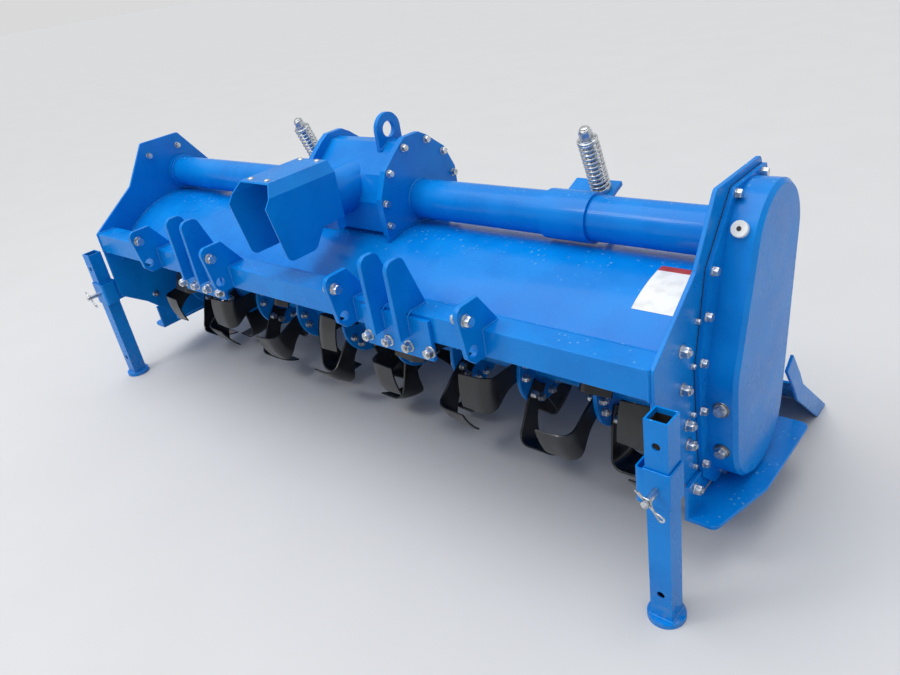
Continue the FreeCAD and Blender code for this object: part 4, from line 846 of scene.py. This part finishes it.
@dataclass
class DriveHead(Dresser):
    """Fasteners of the gearbox and of the shaft guard, and the eye's weld."""

    lid_bolts: tuple[tuple[float, float], ...] = (
        (0.21, 0.745), (0.178, 0.82), (0.115, 0.872), (0.02, 0.874), (-0.052, 0.822), (-0.086, 0.745),
        (-0.086, 0.68), (0.21, 0.68),
    )
    guard_bolts: tuple[tuple[float, float], ...] = (
        (-0.036, -0.176), (0.036, -0.176), (-0.036, -0.35), (0.036, -0.35),
    )

    def dress(self) -> None:
        """Bolt the lids and the guard, and weld the eye."""
        low, high = self.box("gearbox_housing")
        guard_top = self.box("pto_guard")[1].z
        bolts, welds = Shape(), Shape()
        for behind, z in self.lid_bolts:
            bolts.bolt(self.places.at(high.x, behind, z), X_AXIS, 0.017)
            bolts.bolt(self.places.at(low.x, behind, z), (-1, 0, 0), 0.017)
        for offset, behind in self.guard_bolts:
            spot = self.places.at(self.places.hitch_x + offset, behind, guard_top)
            bolts.grid(turned(((0, 0), (0.0085, 0), (0.008, 0.002), (0.005, 0.0045), (0, 0.0052)),
                              spot, Z_AXIS, 28))
        self.cap_bolts(bolts)
        eye_low, eye_high = self.box("lifting_eye")
        for x in (eye_low.x, eye_high.x):
            welds.weld(((x, eye_low.y, 0.862), (x, eye_low.y + 0.02, 0.872),
                        (x, self.places.rotor_y + 0.05, 0.882), (x, self.places.rotor_y + 0.074, 0.882),
                        (x, eye_high.y - 0.02, 0.872), (x, eye_high.y, 0.862)))
        bolts.make("gearbox_and_guard_bolts", Body.FRAME, self.finishes.zinc, Slot.ZINC)
        welds.make("eye_welds", Body.FRAME, self.finishes.paint, Slot.PAINT, 60)

    def cap_bolts(self, bolts: Shape) -> None:
        """Six bolts round the input shaft's bearing cap."""
        cap_front = self.places.rotor_y - 0.224
        for number in range(6):
            turn = math.radians(number * 60)
            spot = (self.places.hitch_x + 0.054 * math.cos(turn), cap_front,
                    self.places.input_z + 0.054 * math.sin(turn))
            bolts.bolt(spot, (0, -1, 0), 0.013, segments=12)


@dataclass
class ParkingLegs(Dresser):
    """Welds round the feet and sockets, linch clips, rust films and socket cheeks of the two parking legs."""

    half: float = 0.025
    wall: float = 0.004

    def dress(self) -> None:
        """Dress both legs and their sockets."""
        clips, welds, cheeks = Shape(), Shape(), Shape()
        for name, body in (("left_leg", Body.LEFT_LEG), ("right_leg", Body.RIGHT_LEG)):
            low, high = self.box(name)
            x, y = (low.x + high.x) / 2, (low.y + high.y) / 2
            foot_weld = Shape()
            reach = self.half + 0.001
            corners = ((x - reach, y - reach), (x + reach, y - reach), (x + reach, y + reach),
                       (x - reach, y + reach), (x - reach, y - reach))
            foot_weld.weld([(cx, cy, 0.0125) for cx, cy in corners])
            foot_weld.make(f"{name}_foot_weld", body, self.finishes.paint, Slot.PAINT, 60)
            self.liner(name, body, x, y, high.z)
            socket_low, socket_high = self.box(f"{name}_socket")
            self.socket_welds(welds, x, y, socket_low, socket_high)
            self.clip(clips, x, self.box("leg_pins")[0].y, (socket_low.z + socket_high.z) / 2)
            self.cheek(cheeks, -1 if x < 0 else 1, x, socket_low, socket_high)
        clips.make("leg_pin_clips", Body.FRAME, self.finishes.zinc, Slot.ZINC, 50)
        welds.make("socket_welds", Body.FRAME, self.finishes.paint, Slot.PAINT, 60)
        cheeks.make("socket_cheeks", Body.FRAME, self.finishes.paint, Slot.PAINT)

    def liner(self, name: str, body: Body, x: float, y: float, top: float) -> None:
        """Light rust film on the bare inside of the tube, just under its open end."""
        inner = self.half - self.wall - 0.0003
        back = inner - 0.0006
        rows = []
        for size, z in ((inner, top - 0.012), (inner, top - 0.2), (back, top - 0.2), (back, top - 0.012)):
            rows.append([(x - size, y - size, z), (x + size, y - size, z), (x + size, y + size, z),
                         (x - size, y + size, z)])
        Shape().grid(np.array(rows), wrap_rows=True).make(
            f"{name}_rust_film", body, self.finishes.rust, Slot.PAINT)

    def socket_welds(self, welds: Shape, x: float, y: float, low: Vector, high: Vector) -> None:
        """Beads round the top of a socket, on the seam between its collar and the plate."""
        edge = self.half + 0.0026
        top = high.z + 0.0004
        welds.weld([(x - edge, y + edge, top), (x - edge, y - edge, top), (x + edge, y - edge, top),
                    (x + edge, y + edge, top), (x - edge, y + edge, top)], 0.0022)

    def cheek(self, cheeks: Shape, side: int, x: float, low: Vector, high: Vector) -> None:
        """Folded strip beside a socket, on the rotor's side, from its front face round to the rear.

        Its outline in plan runs inwards, round a bend and back, and its section is the strip's
        wall by the socket's height.
        """
        reach, bend, wall, back = 0.015, 0.006, 0.004, 0.046
        face = low.y + wall / 2
        start = x - side * 0.029
        turn = np.linspace(0, math.pi / 2, 7)
        corner_x = start - side * (reach - bend) - side * bend * np.sin(turn)
        corner_y = face + bend * (1 - np.cos(turn))
        plan_x = np.concatenate([[start, start - side * 0.006], corner_x, [corner_x[-1]] * 2])
        plan_y = np.concatenate([[face, face], corner_y, [face + 0.03, face + back]])
        path = np.stack([plan_x, plan_y, plan_x * 0 + (low.z + high.z) / 2], axis=-1)
        half = (high.z - low.z) / 2
        section = np.array([(-wall / 2, -half), (wall / 2, -half), (wall / 2, half), (-wall / 2, half)])
        cheeks.grid(swept(path, section, Z_AXIS), capped=True)

    def clip(self, clips: Shape, x: float, end: float, z: float) -> None:
        """Hair-pin clip near the front end of a locking pin.

        The straight leg passes through the pin, the waved leg lies round its upper side, and
        a bow joins them; all lie in a plane square to the pin, turned to lean across it.
        """
        turn = np.linspace(-0.5, 0.5, 24) * math.pi
        bow = np.stack([0.041 + 0.006 * np.cos(turn), turn * 0, 0.006 * np.sin(turn)], axis=-1)
        straight = resampled(((-0.033, 0, -0.001), (0.02, 0, -0.001), (0.041, 0, -0.006)), 0.002)
        along = np.linspace(0.041, -0.027, 44)
        hump = 0.0105 * np.exp(-(along / 0.009) ** 2) - 0.0035 * np.exp(-((along - 0.024) / 0.008) ** 2)
        rest = 0.006 * np.clip(along / 0.041, 0, 1) + 0.004 * np.clip(-along / 0.027, 0, 1)
        waved = np.stack([along, along * 0 - 0.0005, rest + hump], axis=-1)
        lean = math.radians(44)
        spin = np.array([[math.cos(lean), 0, math.sin(lean)], [0, 1, 0],
                         [-math.sin(lean), 0, math.cos(lean)]])
        centre = np.array([x, end + 0.009, z])
        for run in (straight, bow, waved):
            clips.grid(swept(run @ spin.T + centre, circle(0.0021, 8), Y_AXIS), capped=True)


@dataclass
class SpringRods(Dresser):
    """Coil springs, threads and lock nuts of the two pressure rods."""

    turns: float = 13.5
    length: float = 0.15
    radius: float = 0.0235
    wire: float = 0.0031
    rod_radius: float = 0.01

    def dress(self) -> None:
        """Replace each plain sleeve by a wound spring and add the thread."""
        for side, body in (("left", Body.LEFT_ROD), ("right", Body.RIGHT_ROD)):
            low, high = self.box(f"{side}_spring")
            middle = np.array((low + high) / 2)
            foot = np.array([self.places.rod_x[side], *self.places.rod_foot])
            aim = unit(middle - foot)
            base = middle - aim * self.length / 2
            coil = self.coil(base, aim).make(f"{side}_coil_spring", body, self.finishes.spring, Slot.ZINC)
            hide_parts(f"{side}_spring")
            end = np.array(self.rod_end(side, foot, aim))
            self.thread(base + aim * self.length, end, aim).make(
                f"{side}_rod_thread", body, self.finishes.zinc, Slot.ZINC, 60)

    def rod_end(self, side: str, foot: np.ndarray, aim: np.ndarray) -> np.ndarray:
        """Top of the rod: the farthest point of the CAD node along the rod's direction."""
        mesh = self.frame["nodes"][f"{side}_spring_rod"].data
        points = np.empty(len(mesh.vertices) * 3)
        mesh.vertices.foreach_get("co", points)
        reach = float(((points.reshape(-1, 3) - foot) @ aim).max())
        return foot + aim * reach

    def coil(self, base: np.ndarray, aim: np.ndarray) -> Shape:
        """Helix whose pitch closes up at both ends: rise follows the turn, flattened near 0 and 1."""
        share = np.linspace(0, 1, int(self.turns * 40))
        turn = share * self.turns * 2 * math.pi
        flat = 1.0 / self.turns
        open_share = np.clip((share - flat) / (1 - 2 * flat), 0, 1)
        rise = self.wire + (self.length - 2 * self.wire) * (0.1 * share + 0.9 * open_share)
        side, lift = across(aim)
        ring = np.cos(turn)[:, None] * side + np.sin(turn)[:, None] * lift
        path = base + rise[:, None] * aim + self.radius * ring
        return Shape().grid(swept(path, circle(self.wire, 12), aim), capped=True)

    def thread(self, start: np.ndarray, end: np.ndarray, aim: np.ndarray) -> Shape:
        """Washer edge, nylon collar of the lock nut and the turned thread beyond it."""
        top = start + aim * 0.021
        shape = Shape().grid(turned(((0, 0), (0.0145, 0), (0.0145, 0.004), (0.0125, 0.0065), (0, 0.0065)),
                                    top, aim, 36))
        run = float(np.dot(end - top, aim)) + 0.0015
        heights = np.linspace(0.004, run, 26)
        radii = self.rod_radius - 0.0006 + 0.0009 * (np.arange(26) % 2)
        profile = [(0, 0.004)] + list(zip(radii, heights)) + [(self.rod_radius - 0.002, run + 0.001),
                                                            (0, run + 0.001)]
        return shape.grid(turned(profile, top, aim, 28))


@dataclass
class RearBoard(Dresser):
    """Trailing board: heads of its hinge pins, and weld beads on its lugs."""

    hinge_places: tuple[float, ...] = (-0.95, -0.48, 0.48, 0.95)

    def dress(self) -> None:
        """Add the board's small parts."""
        y, z = self.places.hinge
        pins = Shape()
        for place in self.hinge_places:
            for side in (-1, 1):
                face = place + side * 0.053
                pins.grid(turned(((0, 0), (0.0125, 0), (0.0125, 0.003), (0.0115, 0.004), (0, 0.004)),
                                 (face, y, z), (side, 0, 0), 28))
        pins.make("hinge_pin_heads", Body.FRAME, self.finishes.zinc, Slot.ZINC)
        welds = Shape()
        for place in self.hinge_places:
            for side in (-1, 1):
                face = place + side * 0.04
                welds.weld(((face, y + 0.012, z - 0.012), (face, y + 0.014, z - 0.036)), 0.0028)
        welds.make("board_welds", Body.BOARD, self.finishes.paint, Slot.PAINT, 60)


@dataclass
class TopTubes(Dresser):
    """Weld beads round both ends of the top tubes."""

    tube_radius: float = 0.057
    tube_behind: float = 0.062
    tube_z: float = 0.712

    def dress(self) -> None:
        """Weld the tubes to their flanges."""
        welds = Shape()
        left_low, left_high = self.box("left_top_tube")
        right_low, right_high = self.box("right_top_tube")
        for x in (left_low.x + 0.014, left_high.x, right_low.x, right_high.x - 0.014):
            turn = np.linspace(0, 2 * math.pi, 110, endpoint=False)
            ring = np.stack([turn * 0, np.cos(turn), np.sin(turn)], axis=-1) * (self.tube_radius + 0.001)
            path = np.array(self.places.at(x, self.tube_behind, self.tube_z)) + ring
            swell = 1 + 0.14 * np.abs(np.sin(turn * 28))
            welds.grid(swept(path, circle(0.0036, 8), X_AXIS, closed=True, scale=swell), wrap_rows=True)
        welds.make("tube_welds", Body.FRAME, self.finishes.paint, Slot.PAINT, 60)


@dataclass
class HoodLabel(Dresser):
    """Blank white label with a red band, lying on the hood beside the right side plate."""

    x_range: tuple[float, float] = (0.986, 1.092)
    turns: tuple[float, float] = (92.0, 117.0)
    band_turn: float = 95.5
    lift: float = 0.0005
    radius: float = 0.352

    def patch(self, first: float, last: float, lift: float) -> np.ndarray:
        """Closed thin patch on the hood: points at a turn round the rotor and a place along X."""
        turns = np.radians(np.linspace(first, last, 24))
        places = np.linspace(*self.x_range, 3)
        turn, place = np.meshgrid(turns, places, indexing="ij")
        skins = []
        for radius in (self.radius - 0.0006, self.radius + lift):
            skins.append(np.stack([place, self.places.rotor_y + radius * np.cos(turn),
                                   self.places.rotor_z + radius * np.sin(turn)], axis=-1))
        return np.concatenate([skins[0], skins[1][:, ::-1]], axis=1)

    def dress(self) -> None:
        """Lay the label and its band."""
        first, last = self.turns
        white = Shape().grid(self.patch(self.band_turn, last, self.lift), capped=True)
        white.make("hood_label", Body.FRAME, self.finishes.label, Slot.CAP, 60)
        red = Shape().grid(self.patch(first, self.band_turn, self.lift), capped=True)
        red.make("hood_label_band", Body.FRAME, self.finishes.band, Slot.CAP, 60)


@dataclass
class Studio:
    """Pale floor, soft light and the camera at the photograph's viewing angle."""

    eye: tuple[float, float, float] = (1.726, -1.5023, 1.372)
    focal: float = 753.9
    frame_width: int = 900
    sensor: float = 36.0
    yaw: float = 44.93
    pitch: float = 27.62
    roll: float = 9.96

    def camera(self) -> None:
        """Place the camera by its yaw, downward pitch and roll."""
        yaw, pitch, roll = (math.radians(value) for value in (self.yaw, self.pitch, self.roll))
        forward = Vector((-math.sin(yaw) * math.cos(pitch), math.cos(yaw) * math.cos(pitch),
                          -math.sin(pitch)))
        right = Vector((math.cos(yaw), math.sin(yaw), 0))
        down = forward.cross(right)
        tilted_right = right * math.cos(roll) + down * math.sin(roll)
        tilted_down = down * math.cos(roll) - right * math.sin(roll)
        data = bpy.data.cameras.new("camera")
        data.sensor_width = self.sensor
        data.lens = self.focal / self.frame_width * self.sensor
        data.clip_end = 60
        camera = bpy.data.objects.new("camera", data)
        axes = Matrix((tilted_right, -tilted_down, -forward)).transposed()
        camera.matrix_world = Matrix.Translation(self.eye) @ axes.to_4x4()
        bpy.context.scene.collection.objects.link(camera)
        bpy.context.scene.camera = camera

    def aim(self, data: bpy.types.Light, place: Sequence[float], target: Sequence[float]) -> None:
        """Put a light at a place and turn it towards a point."""
        lamp = bpy.data.objects.new(data.name, data)
        lamp.location = place
        lamp.rotation_euler = (Vector(target) - Vector(place)).to_track_quat("-Z", "Y").to_euler()
        bpy.context.scene.collection.objects.link(lamp)

    def lights(self) -> None:
        """A wide soft light overhead, as from thin cloud, and a small lamp for the metal's glints."""
        cloud = bpy.data.lights.new("overhead", "SUN")
        cloud.energy = 1.7
        cloud.angle = math.radians(60)
        self.aim(cloud, (-1.0, -0.9, 5.0), (0, 0, 0))
        key = bpy.data.lights.new("key", "AREA")
        key.size = 1.2
        key.energy = 45
        self.aim(key, (-1.6, -3.2, 4.4), (0.0, -0.2, 0.4))

    def floor(self) -> None:
        """A wide pale floor with a faint grain."""
        material, tree, place = empty_material("pale floor")
        tone = mix_colours(tree, noise(tree, place, 0.4, 4.0), linear("#C9CACC"), linear("#CFD0D2"))
        shader = add_node(tree, "ShaderNodeBsdfPrincipled", {"Base Color": tone, "Roughness": 0.7})
        add_node(tree, "ShaderNodeOutputMaterial", {0: shader.outputs[0]})
        reach = 300.0
        mesh = bpy.data.meshes.new("floor")
        mesh.from_pydata([(-reach, -reach, -0.0004), (reach, -reach, -0.0004), (reach, reach, -0.0004),
                          (-reach, reach, -0.0004)], [], [(0, 1, 2, 3)])
        mesh.materials.append(material)
        floor = bpy.data.objects.new("floor", mesh)
        bpy.context.scene.collection.objects.link(floor)

    def sky(self) -> None:
        """An overcast sky: as pale as the floor at the horizon, greyer above it, bright overhead."""
        world = bpy.data.worlds.new("overcast")
        world.use_nodes = True
        tree = world.node_tree
        tree.nodes.clear()
        place = add_node(tree, "ShaderNodeTexCoord").outputs["Generated"]
        height = add_node(tree, "ShaderNodeSeparateXYZ", {0: place}).outputs["Z"]
        haze = mix_colours(tree, ramp(tree, height, 0.02, 0.3), linear("#FBFBFC"), linear("#AEB3B7"))
        tone = mix_colours(tree, ramp(tree, height, 0.25, 0.7), haze, linear("#FFFFFF"))
        glow = add_node(tree, "ShaderNodeBackground", {"Color": tone, "Strength": 0.72})
        add_node(tree, "ShaderNodeOutputWorld", {0: glow.outputs[0]})
        bpy.context.scene.world = world

    def build(self) -> None:
        """Set up camera, floor, sky and lights."""
        self.camera()
        self.floor()
        self.sky()
        self.lights()
        bpy.context.scene.view_settings.view_transform = "Standard"


def corners(box: Any) -> list[list[float]]:
    """A box as plain lists of numbers."""
    return [[float(value) for value in corner] for corner in box]


def main() -> None:
    """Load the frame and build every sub-assembly in order."""
    logging.basicConfig(level=logging.INFO, format="%(name)s: %(message)s")
    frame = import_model()
    Studio().build()
    places = Places.read(frame)
    finishes = Finishes.build()
    for part in (Paintwork, RotorSet, SideDrive, Hitch, DriveHead, ParkingLegs, SpringRods, RearBoard,
                 TopTubes, HoodLabel):
        part(frame, places, finishes).dress()
        LOG.info("%s done", part.__name__)


if __name__ == "__main__":
    main()
